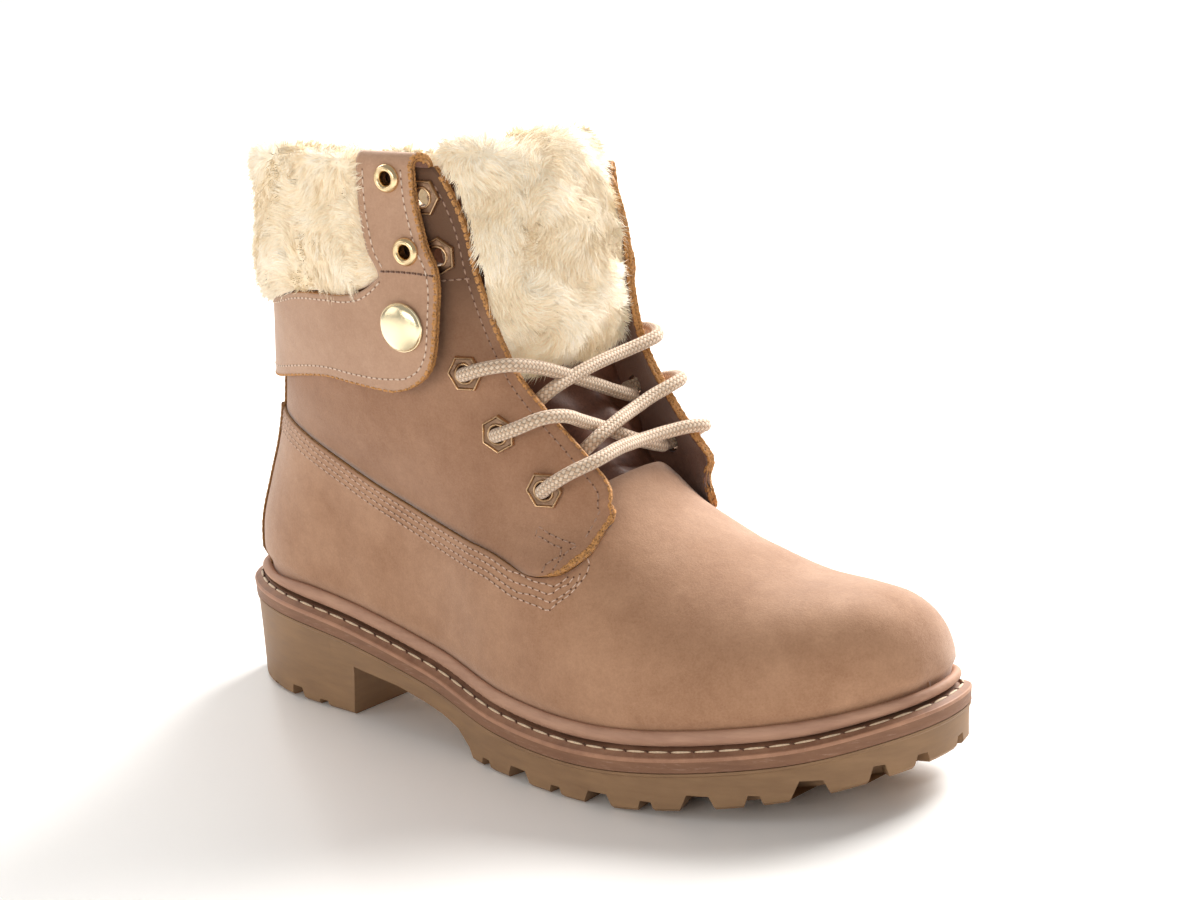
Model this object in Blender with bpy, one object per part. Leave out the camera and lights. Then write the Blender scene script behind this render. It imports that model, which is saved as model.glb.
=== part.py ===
"""Right ankle boot with a folded fur cuff, laced, on a lug sole with a heel.

World frame: +X to the toe, +Y to the inner (medial) side, -Y to the outer (lateral) side, +Z up.
The origin lies on the floor under the middle of the heel. Sizes below are in millimetres.
"""

import math

import bmesh
import bpy
import numpy as np
from mathutils import Matrix, Vector

MM = 0.001
GAP = 0.3                  # clearance between pieces that meet
LATERAL, MEDIAL = -1, 1
SIDE_NAMES = {LATERAL: "lateral", MEDIAL: "medial"}


def table(names, *rows):
    """Short table: a dictionary of columns."""
    return {name: np.array(column, float) for name, column in zip(names.split(), zip(*rows))}


# ---------------------------------------------------------------- driving sizes

HEEL_BACK = -30.5          # rear end of the sole
SOLE_LENGTH = 275.5
SOLE_BAND = 5.0            # side height of the midsole
LEDGE_RISE = 2.0           # slope of the midsole's top, from its step edge inwards
LEDGE_WIDTH = 4.0
RAND_WIDTH = 2.2
RAND_HEIGHT = 5.0
FEATHER_INSET = 5.2        # widest line of the upper, in from the step edge
TUCK = 3.0                 # the upper draws in by this behind the rand
COLLAR_BACK_Z = 179.0      # fold of the shaft on the back line
COLLAR_SLOPE = 0.035       # the fold rises towards the front
COLLAR_TILT = 0.195        # and stands higher on the lateral side
SETTLE_DOWN = 15.6         # the medial side of the shaft has settled this much lower
SETTLE_FORWARD = 10.0
THROAT = (137.0, 90.5)     # x, z of the vamp's top edge on the centre line
SEAM_BACK_Z = 102.0        # height of the falling seam on the back line
FLAP_CORNER = (143.0, 72.8)
INNER_WALL = 1.6           # lining side of the wall, in from the base form
SHAFT_WALL = 0.2           # outer side of the shaft above the falling seam
LOWER_LAP = 1.2            # outer side of the lower panel, which laps over the shaft
FLAP_LAP = 2.8             # outer side of the flap, which laps over the vamp
SEAM_TURN = 0.80           # where along the seam the flap passes over the lower panel
CORNER_TURN = 0.88         # and where the flap's lower corner lies
INSOLE_INSET = 12.2        # edge of the insole, in from the step edge
INSOLE_THICK = 2.5

SOLE_EDGE = table(
    "share lateral medial",
    (0.00, 0.0, 0.0),
    (0.03, -17.5, 17.5),
    (0.12, -30.7, 32.0),
    (0.26, -34.8, 30.5),
    (0.40, -38.4, 28.5),
    (0.52, -47.6, 35.6),
    (0.67, -52.2, 46.8),
    (0.79, -46.8, 49.3),
    (0.90, -31.5, 44.8),
    (0.975, -10.5, 33.5),
    (1.00, 10.8, 10.8),
)
SOLE_LEVELS = table(
    "x step ground",
    (-30.5, 34.9, 0.0),
    (5, 34.3, 0.0),
    (40, 30.9, 0.0),
    (75, 24.6, 0.0),
    (115, 18.6, 0.0),
    (160, 17.6, 0.0),
    (195, 20.8, 3.6),
    (220, 24.1, 7.4),
    (245, 30.4, 14.0),
)
RIDGE = table(             # top line of the vamp from the toe, then the line behind the tongue
    "x z",
    (239.3, 33.5),
    (238.2, 45.5),
    (232.8, 54.5),
    (224, 59.4),
    (212, 60.8),
    (192, 62.2),
    (169, 69.2),
    (153, 76.8),
    (145, 82),
    (137, 90.5),
    (120, 112),
    (106, 150),
    (100, 200),
)
SHAFT = table(             # level sections: back line, front line closed over the opening, half width
    "z back front half",
    (35, -24.5, 195, 30.0),
    (55, -23.5, 183, 31.5),
    (70, -17.5, 176, 33.0),
    (86, -10.2, 167, 35.0),
    (104, -3.6, 150, 37.6),
    (121, -0.5, 139, 39.0),
    (138, 1.4, 134, 40.2),
    (155, 1.3, 132, 41.0),
    (194, 0.0, 125, 41.0),
)
CENTRE = table("x y", (-31, 0), (60, 0), (110, 1), (170, 5), (215, 9), (245, 10.8))
FULLNESS = table("x power", (-31, 2.3), (100, 2.2), (150, 2.3), (200, 2.35), (245, 2.6))
SEAM = table(              # falling seam, corner of the flap, then the throat under it
    "turn x z",
    (0.00, -4.3, 102),
    (0.10, 14, 98),
    (0.22, 36, 89.5),
    (0.36, 60, 79.5),
    (0.52, 86, 72),
    (0.66, 109, 69),
    (0.80, 132, 65),
    (0.84, 139, 67.2),
    (0.88, 143, 72.8),
    (0.91, 141, 78.5),
    (0.94, 137.5, 84),
    (0.97, 136, 88.5),
    (1.00, 137, 90.5),
)
FLAP_EDGE = table(         # front edge of the shaft, from the flap's corner to the collar
    "z x",
    (72.8, 143),
    (79.5, 144),
    (86, 146.2),
    (92, 145),
    (104, 135.5),
    (116, 125),
    (124, 119),
    (134, 114.5),
    (154, 108.5),
    (174, 104),
    (184, 99.5),
    (191, 95),
)
FEATHER_TURN = table(      # spreads the columns of the upper along its bottom edge
    "turn angle",
    (0.00, 0.00),
    (0.12, 0.17),
    (0.40, 0.40),
    (0.62, 0.52),
    (0.80, 0.64),
    (0.88, 0.74),
    (0.94, 0.86),
    (1.00, 1.00),
)


# ---------------------------------------------------------------- curves

def smooth_curve(knots, values, at):
    """Smooth curve through a short table, straight runs kept straight."""
    at = np.clip(np.asarray(at, float), knots[0], knots[-1])
    run = np.diff(knots)
    slope = np.diff(values) / run
    inner = (slope[:-1] * run[1:] + slope[1:] * run[:-1]) / (run[:-1] + run[1:])
    lean = np.concatenate(([slope[0]], inner, [slope[-1]]))
    i = np.clip(np.searchsorted(knots, at, side="right") - 1, 0, len(run) - 1)
    s = (at - knots[i]) / run[i]
    rise = values[i + 1] - values[i]
    bend_in = run[i] * lean[i] - rise
    bend_out = rise - run[i] * lean[i + 1]
    return values[i] + s * rise + s * (1 - s) * ((1 - s) * bend_in + s * bend_out)


def along(rows, key, name, at):
    """One column of a table as a smooth curve over another."""
    return smooth_curve(rows[key], rows[name], at)


def soft_step(t):
    """0 below 0, 1 above 1, smooth between."""
    t = np.clip(t, 0.0, 1.0)
    return t * t * (3 - 2 * t)


def dense(rows, first, second, count=400):
    """Fine polyline through a table's two columns, even in length."""
    length = np.concatenate(([0], np.cumsum(np.hypot(np.diff(rows[first]), np.diff(rows[second])))))
    at = np.linspace(0, length[-1], count)
    return np.stack([smooth_curve(length, rows[name], at) for name in (first, second)], -1)


# ---------------------------------------------------------------- form of the sole

def closed_outline():
    """Knots and y values of the sole edge over a full turn, padded past both ends."""
    out = np.arccos(1 - 2 * SOLE_EDGE["share"])
    knots = np.concatenate((out, 2 * math.pi - out[-2::-1]))
    y = np.concatenate((SOLE_EDGE["lateral"], SOLE_EDGE["medial"][-2::-1]))
    turn = 2 * math.pi
    knots = np.concatenate((knots[-3:-1] - turn, knots, knots[1:3] + turn))
    return knots, np.concatenate((y[-3:-1], y, y[1:3]))


OUTLINE_KNOTS, OUTLINE_Y = closed_outline()


def sole_edge(angle):
    """Step edge of the midsole: 0 at the heel's back, pi at the toe, through the lateral side."""
    angle = np.mod(np.asarray(angle, float), 2 * math.pi)
    x = HEEL_BACK + SOLE_LENGTH * (1 - np.cos(angle)) / 2
    return x, smooth_curve(OUTLINE_KNOTS, OUTLINE_Y, angle)


def sole_tangent(angle, step=1e-3):
    x1, y1 = sole_edge(angle + step)
    x0, y0 = sole_edge(angle - step)
    size = np.hypot(x1 - x0, y1 - y0)
    return (x1 - x0) / size, (y1 - y0) / size


def inset_edge(angle, inset):
    """The step edge moved inwards."""
    x, y = sole_edge(angle)
    tx, ty = sole_tangent(angle)
    return x - inset * ty, y + inset * tx


def sole_z(x, name):
    return np.maximum(along(SOLE_LEVELS, "x", name, x), 0)


def feather_z(x):
    """Bottom edge of the upper."""
    return sole_z(x, "step") + LEDGE_RISE + GAP


# ---------------------------------------------------------------- form of the upper

RIDGE_LINE = dense(RIDGE, "x", "z")
HALF_TURN = np.linspace(0, math.pi, 241)
FEATHER = {
    LATERAL: np.stack(inset_edge(HALF_TURN, FEATHER_INSET), -1),
    MEDIAL: np.stack(inset_edge(2 * math.pi - HALF_TURN, FEATHER_INSET), -1),
}
FEATHER_BACK = float(FEATHER[LATERAL][0, 0])
FEATHER_TOE = float(FEATHER[LATERAL][-1, 0])
HEEL_ROUND_END = 40.0      # the heel's round end slides with the back line behind this x
SHAFT_POWER = 2.3          # squareness of the shaft's level sections


def centre_y(x, z):
    """Middle line between the two sides: it swings to the medial side at the toe."""
    in_foot = 1 - soft_step((z - 50) / 50) * (1 - soft_step((x - 120) / 40))
    return along(CENTRE, "x", "y", x) * in_foot


def ridge_z(x):
    return np.interp(-np.asarray(x, float), -RIDGE_LINE[:, 0], RIDGE_LINE[:, 1])


def foot_half(x, z, side):
    """Half width from upright sections: the plan outline rounded off towards the ridge."""
    back = along(SHAFT, "z", "back", z)
    stretch = (HEEL_ROUND_END - FEATHER_BACK) / (HEEL_ROUND_END - back)
    plan_x = np.where(x < HEEL_ROUND_END, HEEL_ROUND_END - (HEEL_ROUND_END - x) * stretch, x)
    plan_y = np.interp(plan_x, FEATHER[side][:, 0], FEATHER[side][:, 1])
    width = np.abs(plan_y - along(CENTRE, "x", "y", plan_x))
    low = feather_z(x)
    height = np.clip((z - low) / np.maximum(ridge_z(x) - low, 1e-3), 0, 1)
    power = along(FULLNESS, "x", "power", x)
    return width * (1 - height ** power) ** (1 / power)


def shaft_half(x, z, side=LATERAL):
    """Half width from level sections of the shaft."""
    back, front = along(SHAFT, "z", "back", z), along(SHAFT, "z", "front", z)
    t = np.clip(np.abs(2 * x - back - front) / (front - back), 0, 1)
    return along(SHAFT, "z", "half", z) * (1 - t ** SHAFT_POWER) ** (1 / SHAFT_POWER)


def lower_half(x, z, side):
    """Half width of the lower panel: foot sections in front, shaft sections above the heel."""
    to_shaft = soft_step((z - 52) / 56) * (1 - soft_step((x - 85) / 50))
    return (1 - to_shaft) * foot_half(x, z, side) + to_shaft * shaft_half(x, z)


def upper_half(x, z, side):
    """Half width of the shaft and its flaps, which leave the lower panel above the seam."""
    joined = SEAM["turn"] <= SEAM_TURN
    rise = z - smooth_curve(SEAM["x"][joined], SEAM["z"][joined], x)
    to_shaft = soft_step(rise / 24)
    return (1 - to_shaft) * lower_half(x, z, side) + to_shaft * shaft_half(x, z)


def settle(x, z, side):
    """The shaft's medial side leans down and forward of the lateral side."""
    if side == LATERAL:
        return x, z
    share = np.minimum(shaft_half(x, z) / 38, 1) * soft_step((z - 105) / 80)
    return x + SETTLE_FORWARD * share * soft_step(x / 100), z - SETTLE_DOWN * share


def on_form(x, z, side, half):
    return np.stack([x, centre_y(x, z) + side * half(x, z, side), z], -1)


def form_frame(x, z, side, half, lift=0.0, step=0.2):
    """Point, outward normal and upward tangent at one spot of a form."""
    def at(px, pz):
        return on_form(np.float64(px), np.float64(pz), side, half)
    ahead = at(x + step, z) - at(x - step, z)
    up = at(x, z + step) - at(x, z - step)
    normal = np.cross(up, ahead) * side
    normal = -normal if normal[1] * side < 0 else normal
    normal = normal / np.linalg.norm(normal)
    up = up / np.linalg.norm(up)
    return at(x, z) + normal * lift, normal, up


def fill_between(u, v, bottom, top, back, front):
    """Point of a patch between four edges; u runs from back to front, v upwards."""
    u, v = np.asarray(u, float), np.asarray(v, float)
    corner = [[edge(np.array([end]))[0] for end in (0.0, 1.0)] for edge in (bottom, top)]
    cu, cv = u[..., None], v[..., None]
    flat = (1 - cu) * (1 - cv) * corner[0][0] + cu * (1 - cv) * corner[0][1]
    flat = flat + (1 - cu) * cv * corner[1][0] + cu * cv * corner[1][1]
    return (1 - cv) * bottom(u) + cv * top(u) + (1 - cu) * back(v) + cu * front(v) - flat


def back_line(low, high):
    def run(v):
        z = low + (high - low) * np.asarray(v, float)
        return np.stack([along(SHAFT, "z", "back", z), z], -1)
    return run


def feather_line(u):
    angle = math.pi * along(FEATHER_TURN, "turn", "angle", u)
    x = FEATHER_BACK + (FEATHER_TOE - FEATHER_BACK) * (1 - np.cos(angle)) / 2
    return np.stack([x, feather_z(x)], -1)


def bunch(u, pull=0.6):
    """Closer columns where the back rounds off."""
    u = np.asarray(u, float)
    return u * u * (1 + pull) / (u + pull)


def seam_line(u):
    turn = np.where(u < SEAM_TURN, bunch(u / SEAM_TURN) * SEAM_TURN, u)
    return np.stack([along(SEAM, "turn", name, turn) for name in ("x", "z")], -1)


def ridge_line(v):
    """Vamp's centre line from the toe's feather edge to the throat."""
    last = np.argmin(np.hypot(RIDGE_LINE[:, 0] - THROAT[0], RIDGE_LINE[:, 1] - THROAT[1]))
    at = np.asarray(v, float) * last
    steps = np.arange(len(RIDGE_LINE))
    return np.stack([np.interp(at, steps, RIDGE_LINE[:, i]) for i in (0, 1)], -1)


def lower_point(u, v, side):
    """Base form of the lower panel; u 0 at the back to 1 on the ridge, v 0 at the sole to 1."""
    flat = fill_between(u, v, feather_line, seam_line, back_line(feather_z(FEATHER_BACK), SEAM_BACK_Z),
                        ridge_line)
    return on_form(flat[..., 0], flat[..., 1], side, lower_half)


def shaft_bottom(w):
    return seam_line(np.asarray(w, float) * CORNER_TURN)


def collar_z(x):
    """Height of the fold on the lateral side."""
    back = along(SHAFT, "z", "back", COLLAR_BACK_Z)
    return COLLAR_BACK_Z + COLLAR_SLOPE * (x - back) + COLLAR_TILT * shaft_half(x, COLLAR_BACK_Z)


COLLAR_FRONT_Z = float(collar_z(FLAP_EDGE["x"][-1]))


def collar_line(w):
    back = along(SHAFT, "z", "back", COLLAR_BACK_Z)
    x = back + (FLAP_EDGE["x"][-1] - back) * bunch(w)
    return np.stack([x, collar_z(x)], -1)


def flap_line(v):
    z = FLAP_CORNER[1] + (COLLAR_FRONT_Z - FLAP_CORNER[1]) * np.asarray(v, float)
    return np.stack([along(FLAP_EDGE, "z", "x", z), z], -1)


def shaft_point(w, v, side):
    """Base form of the shaft; w 0 at the back to 1 at the front edge, v 0 at the seam to 1."""
    flat = fill_between(w, v, shaft_bottom, collar_line, back_line(SEAM_BACK_Z, COLLAR_BACK_Z), flap_line)
    x, z = settle(flat[..., 0], flat[..., 1], side)
    return on_form(x, z, side, upper_half)


# ---------------------------------------------------------------- meshes

def material(name, colour, roughness, metallic=0.0):
    mat = bpy.data.materials.new(name)
    mat.use_nodes = True
    shader = mat.node_tree.nodes["Principled BSDF"]
    shader.inputs["Base Color"].default_value = (*colour, 1.0)
    shader.inputs["Roughness"].default_value = roughness
    shader.inputs["Metallic"].default_value = metallic
    return mat


def finish(name, bm, mat, smooth=True, fix_normals=True):
    """Scale a bmesh in millimetres to metres and make it an object."""
    bmesh.ops.remove_doubles(bm, verts=bm.verts, dist=0.001)
    if fix_normals:
        bmesh.ops.recalc_face_normals(bm, faces=bm.faces)
    bmesh.ops.scale(bm, vec=(MM, MM, MM), verts=bm.verts)
    mesh = bpy.data.meshes.new(name)
    bm.to_mesh(mesh)
    bm.free()
    mesh.materials.append(mat)
    if smooth:
        mesh.shade_smooth()
        mesh.set_sharp_from_angle(angle=math.radians(40))
    obj = bpy.data.objects.new(name, mesh)
    bpy.context.scene.collection.objects.link(obj)
    return obj


def combine(target, operation, cutters):
    """Boolean of several objects into one; the others are left out of the build."""
    for cutter in cutters:
        cutter.hide_render = True
        cutter.display_type = "WIRE"
        cutter.hide_set(True)
        modifier = target.modifiers.new(operation.title(), "BOOLEAN")
        modifier.operation = operation
        modifier.solver = "EXACT"
        modifier.object = cutter


def grid_normals(points):
    """Unit normals of a grid whose columns run from the lateral front round the back."""
    across = np.gradient(points, axis=1)
    up = np.gradient(points, axis=0)
    normal = np.cross(up, across)
    size = np.linalg.norm(normal, axis=-1, keepdims=True)
    return normal / np.maximum(size, 1e-9)


def two_skins(outer, inner, cells):
    """Closed solid between two grids of points over the marked cells, and its outer faces."""
    bm = bmesh.new()
    rows, columns = outer.shape[:2]
    skins = [[[bm.verts.new(skin[r, c]) for c in range(columns)] for r in range(rows)]
             for skin in (outer, inner)]
    both = np.concatenate((outer, inner), axis=-1).round(3)
    first = {}
    place = [[first.setdefault(tuple(both[r, c]), (r, c)) for c in range(columns)] for r in range(rows)]
    sides = {}
    outside = []
    for r in range(rows - 1):
        for c in range(columns - 1):
            if not cells[r, c]:
                continue
            ring = [(r, c), (r, c + 1), (r + 1, c + 1), (r + 1, c)]
            outside.append(bm.faces.new([skins[0][i][j] for i, j in ring]))
            bm.faces.new([skins[1][i][j] for i, j in reversed(ring)])
            shared = [place[i][j] for i, j in ring]
            for start, end in zip(shared, shared[1:] + shared[:1]):
                if start == end:
                    continue
                if (end, start) in sides:
                    del sides[(end, start)]
                else:
                    sides[(start, end)] = True
    for (r0, c0), (r1, c1) in sides:
        bm.faces.new([skins[0][r0][c0], skins[1][r0][c0], skins[1][r1][c1], skins[0][r1][c1]])
    loose = [v for v in bm.verts if not v.link_faces]
    bmesh.ops.delete(bm, geom=loose, context="VERTS")
    return bm, outside


# ---------------------------------------------------------------- upper

SIDE_TURNS = np.linspace(0, SEAM_TURN, 14)
CORNER_TURNS = np.array([0.825, 0.85, CORNER_TURN])
THROAT_TURNS = np.array([0.91, 0.94, 0.97, 1.0])
LEAD_ROWS = table("rise tuck", (0, TUCK), (5.5, TUCK), (8.5, 0.25 * TUCK), (13, 0))
UPPER_ROWS = 8             # further rows of the lower panel, up to the falling seam
SHAFT_ROWS = np.linspace(0, 1, 8)
FLAP_RISE = table("x share", (116, 0.0), (136, 1.0))
FLAP_FALL = table("z share", (76, 1.0), (104, 0.0))


def flap_share(x, z):
    """1 where the flap laps over the lower panel, 0 where the shaft lies under it."""
    forward = soft_step((x - FLAP_RISE["x"][0]) / (FLAP_RISE["x"][1] - FLAP_RISE["x"][0]))
    high = soft_step((z - FLAP_FALL["z"][0]) / (FLAP_FALL["z"][1] - FLAP_FALL["z"][0]))
    return forward * (1 - high)


def shaft_outer(x, z):
    return SHAFT_WALL + (FLAP_LAP - SHAFT_WALL) * flap_share(x, z)


def shaft_inner(x, z):
    return -INNER_WALL + (FLAP_LAP - SHAFT_WALL - 0.4) * flap_share(x, z)


def lower_rows(turns):
    """Row places of the lower panel: the first few follow the sole, the rest spread evenly."""
    edges = (feather_line, seam_line, back_line(feather_z(FEATHER_BACK), SEAM_BACK_Z), ridge_line)
    fine = np.linspace(0, 0.6, 121)
    columns = []
    for turn in turns:
        flat = fill_between(np.full_like(fine, turn), fine, *edges)
        rise = flat[:, 1] - feather_z(flat[:, 0])
        lead = np.interp(LEAD_ROWS["rise"], rise, fine)
        rest = np.linspace(0, 1, UPPER_ROWS) ** (1 + 0.5 * turn ** 4)
        columns.append(np.concatenate((lead[:-1], lead[-1] + (1 - lead[-1]) * rest)))
    return np.array(columns).T


def both_sides(point, turns, rows):
    """Grid over both sides: from the lateral front round the back to the medial front."""
    u, v = np.broadcast_arrays(turns, rows)
    lateral = point(u, v, LATERAL)[:, ::-1]
    medial = point(u, v, MEDIAL)[:, 1:]
    return np.concatenate((lateral, medial), axis=1)


def upper_grids():
    """Base points and normals of the lower panel and the shaft, on shared columns."""
    turns = np.concatenate((SIDE_TURNS, CORNER_TURNS, THROAT_TURNS))
    lower = both_sides(lower_point, turns, lower_rows(turns))
    shaft = both_sides(shaft_point, turns[:-len(THROAT_TURNS)] / CORNER_TURN, SHAFT_ROWS[:, None])
    ring = np.concatenate((lower[:, -2:-1], lower, lower[:, 1:2]), axis=1)
    lower_normal = grid_normals(ring)[:, 1:-1]
    shaft_normal = grid_normals(shaft)
    skip = len(THROAT_TURNS)
    meeting = lower_normal[-1, skip:-skip] + shaft_normal[0]
    meeting /= np.linalg.norm(meeting, axis=-1, keepdims=True)
    lower_normal[-1, skip:-skip] = meeting
    shaft_normal[0] = meeting
    return lower, lower_normal, shaft, shaft_normal


def upper_skins():
    """Outer and inner points of the whole upper, and the cells that exist."""
    lower, lower_normal, shaft, shaft_normal = upper_grids()
    tuck = np.zeros((len(lower), 1, 1))
    tuck[:len(LEAD_ROWS["tuck"]), 0, 0] = LEAD_ROWS["tuck"]
    skip = len(THROAT_TURNS)
    pad = np.full((len(shaft), skip, 3), np.nan)
    x, z = shaft[..., :1], shaft[..., 2:]
    outer_shaft = shaft + shaft_normal * shaft_outer(x, z)
    inner_shaft = shaft + shaft_normal * shaft_inner(x, z)
    outer = np.concatenate((lower + lower_normal * (LOWER_LAP - tuck),
                            np.concatenate((pad, outer_shaft, pad), axis=1)))
    inner = np.concatenate((lower - lower_normal * (INNER_WALL + tuck),
                            np.concatenate((pad, inner_shaft, pad), axis=1)))
    cells = np.ones((len(outer) - 1, outer.shape[1] - 1), bool)
    cells[len(lower) - 1:, :skip] = False
    cells[len(lower) - 1:, -skip:] = False
    return outer, inner, cells


def make_upper(mat):
    outer, inner, cells = upper_skins()
    bm, _ = two_skins(np.nan_to_num(outer), np.nan_to_num(inner), cells)
    upper = finish("upper", bm, mat)
    combine(upper, "DIFFERENCE", [hole_cutter("eyelet_cutter", EYELETS, HOLE_RADIUS, eyelet_lift, mat)])
    return upper


# ---------------------------------------------------------------- sole

EDGE_SAMPLES = 64


def edge_angles(count=EDGE_SAMPLES):
    return np.arange(count) * 2 * math.pi / count


def edge_loop(inset, height, count=EDGE_SAMPLES):
    """Loop round the sole; inset and height may be functions of x."""
    angles = edge_angles(count)
    x, _ = sole_edge(angles)
    depth = inset(x) if callable(inset) else inset
    px, py = inset_edge(angles, depth)
    return np.stack([px, py, height(px)], -1)


def stacked(loops, capped=True):
    """Closed solid through loops of equal count; the ends are filled straight across."""
    bm = bmesh.new()
    rings = [[bm.verts.new(p) for p in loop] for loop in loops]
    count = len(rings[0])
    pairs = list(zip(rings, rings[1:])) if capped else list(zip(rings, rings[1:] + rings[:1]))
    for low, high in pairs:
        for i in range(count):
            j = (i + 1) % count
            bm.faces.new([low[i], low[j], high[j], high[i]])
    if capped:
        for ring in (rings[0], rings[-1]):
            for i in range(1, count // 2):
                across = [ring[i - 1], ring[i], ring[-i], ring[-i + 1]] if i > 1 else \
                    [ring[0], ring[1], ring[-1]]
                bm.faces.new(across)
            bm.faces.new([ring[count // 2 - 1], ring[count // 2], ring[count // 2 + 1]])
    return bm


def step_less(drop):
    return lambda x: sole_z(x, "step") - drop


def ground_plus(rise):
    return lambda x: sole_z(x, "ground") + rise


def make_midsole(mat):
    loops = [
        edge_loop(0.5, step_less(SOLE_BAND)),
        edge_loop(0.0, step_less(0.6)),
        edge_loop(0.6, step_less(0.0)),
        edge_loop(LEDGE_WIDTH, step_less(-LEDGE_RISE)),
    ]
    return finish("midsole", stacked(loops), mat)


def make_rand(mat):
    outside = LEDGE_WIDTH + 0.2
    inside = outside + RAND_WIDTH
    foot = LEDGE_RISE + GAP
    loops = [
        edge_loop(inside, step_less(-foot)),
        edge_loop(outside, step_less(-foot)),
        edge_loop(outside - 0.3, step_less(-foot - RAND_HEIGHT * 0.5)),
        edge_loop(outside + 0.5, step_less(-foot - RAND_HEIGHT)),
        edge_loop(inside, step_less(-foot - RAND_HEIGHT * 0.85)),
    ]
    return finish("rand", stacked(loops, capped=False), mat)


def make_insole(mat):
    loops = [
        edge_loop(INSOLE_INSET, step_less(-LEDGE_RISE - GAP)),
        edge_loop(INSOLE_INSET, step_less(-LEDGE_RISE - GAP - INSOLE_THICK)),
    ]
    return finish("insole", stacked(loops), mat)


HEEL_TAPER = table("x inset", (-31, 1.2), (35, 3.0), (60, 2.0), (100, 1.6), (245, 1.4))
WAIST = table("x z", (35, -2), (38.4, 17.6), (60, 15.6), (83, 11.0), (91, 8.6), (97, 4.0), (100, -2))
NOTCH_START = 46.0         # first deep notch, along the edge from the toe
NOTCH_PITCH = 17.5
NOTCHES = table(           # width at the floor, width at the top, height, reach inwards
    "wide narrow high deep",
    (11.0, 7.0, 4.5, 15.0),
    (6.0, 3.6, 3.0, 9.0),
)
TOE_NOTCHES = (10.0, 25.0)
HEEL_NOTCHES = table(      # along the edge from the heel's back
    "along wide narrow high",
    (12, 5, 4, 4.0),
    (36, 4, 3, 1.5),
    (52, 7, 5, 4.0),
    (66, 5, 4, 2.0),
)
HEEL_NOTCH_REACH = 9.0


def edge_at(distance, from_toe):
    """Angle at a distance along the edge from the toe's tip or the heel's back; its sign picks a side."""
    start = math.pi if from_toe else 0.0
    lateral = distance < 0
    direction = -1 if lateral == from_toe else 1
    fine = start + direction * np.linspace(0, math.pi * 0.75, 900)
    x, y = sole_edge(fine)
    run = np.concatenate(([0], np.cumsum(np.hypot(np.diff(x), np.diff(y)))))
    return float(np.interp(abs(distance), run, fine))


def notch(bm, angle, wide, narrow, high, deep):
    """Trapezium cutter that runs inwards from the sole's edge, open to the floor."""
    x, y = inset_edge(angle, -3.0)
    tx, ty = sole_tangent(angle)
    x1, y1 = float(x), float(y)
    ground = float(sole_z(x1 + 3 * float(ty), "ground"))
    section = [(-wide / 2 * 1.25, -2.5), (wide / 2 * 1.25, -2.5), (narrow / 2, high),
               (-narrow / 2, high)]
    near, far = [], []
    for across, up in section:
        px, py = x1 + across * float(tx), y1 + across * float(ty)
        near.append(bm.verts.new((px, py, ground + up)))
        far.append(bm.verts.new((px - (deep + 3) * float(ty), py + (deep + 3) * float(tx), ground + up)))
    bm.faces.new(near)
    bm.faces.new(far[::-1])
    for i in range(4):
        j = (i + 1) % 4
        bm.faces.new([near[j], near[i], far[i], far[j]])


def prism_y(bm, outline, half):
    """Prism along Y over an outline in X and Z."""
    near = [bm.verts.new((x, -half, z)) for x, z in outline]
    far = [bm.verts.new((x, half, z)) for x, z in outline]
    bm.faces.new(near)
    bm.faces.new(far[::-1])
    for i in range(len(outline)):
        j = (i + 1) % len(outline)
        bm.faces.new([near[j], near[i], far[i], far[j]])


def sole_cutters(mat):
    waist = bmesh.new()
    prism_y(waist, list(zip(WAIST["x"], WAIST["z"])), 80)
    notches = bmesh.new()
    rows = len(NOTCHES["wide"])
    sizes = [[float(NOTCHES[name][i]) for name in ("wide", "narrow", "high", "deep")] for i in range(rows)]
    for sign in (-1, 1):
        for k in range(8):
            place = sign * (NOTCH_START + NOTCH_PITCH * k)
            notch(notches, edge_at(place, True), *sizes[k % 2])
        for place in TOE_NOTCHES:
            notch(notches, edge_at(sign * place, True), *sizes[1])
        for i, place in enumerate(HEEL_NOTCHES["along"]):
            size = [float(HEEL_NOTCHES[name][i]) for name in ("wide", "narrow", "high")]
            notch(notches, edge_at(sign * place, False), *size, HEEL_NOTCH_REACH)
    return [finish("waist_cutter", waist, mat, False), finish("notch_cutter", notches, mat, False)]


def tapered(extra):
    return lambda x: along(HEEL_TAPER, "x", "inset", x) + extra


def make_outsole(mat):
    loops = [
        edge_loop(tapered(0.8), ground_plus(0.0)),
        edge_loop(tapered(0.0), ground_plus(0.9)),
        edge_loop(0.8, step_less(SOLE_BAND + GAP)),
    ]
    outsole = finish("outsole", stacked(loops), mat)
    combine(outsole, "DIFFERENCE", sole_cutters(mat))
    return outsole


# ---------------------------------------------------------------- tongue

TONGUE = table(            # middle line, half width and the fall of its edges
    "x z half drop_x drop_z",
    (152, 73.6, 17, 0, -5.5),
    (143, 80.2, 19, 0, -7),
    (133.5, 91, 22, -3, -8),
    (121, 107, 25, -6, -4),
    (113, 124, 27, -8, 0),
    (109, 145, 29, -9, 0),
    (106, 170, 30, -9, 0),
    (104, 190, 30, -9, 0),
)
TONGUE_THICK = 2.0
TONGUE_FUR = table(        # front of the fur, then over the tongue's top edge
    "x z half drop_x drop_z",
    (115, 124, 23, -6, 0),
    (119.5, 131, 26, -8, 0),
    (121, 145, 29, -10, 0),
    (120.5, 160, 31, -12, 0),
    (120, 175, 32, -15, 0),
    (117.5, 189, 33, -19, -1),
    (110, 195, 31, -15, -3),
    (101.5, 194, 28, -8, -3),
)


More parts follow.
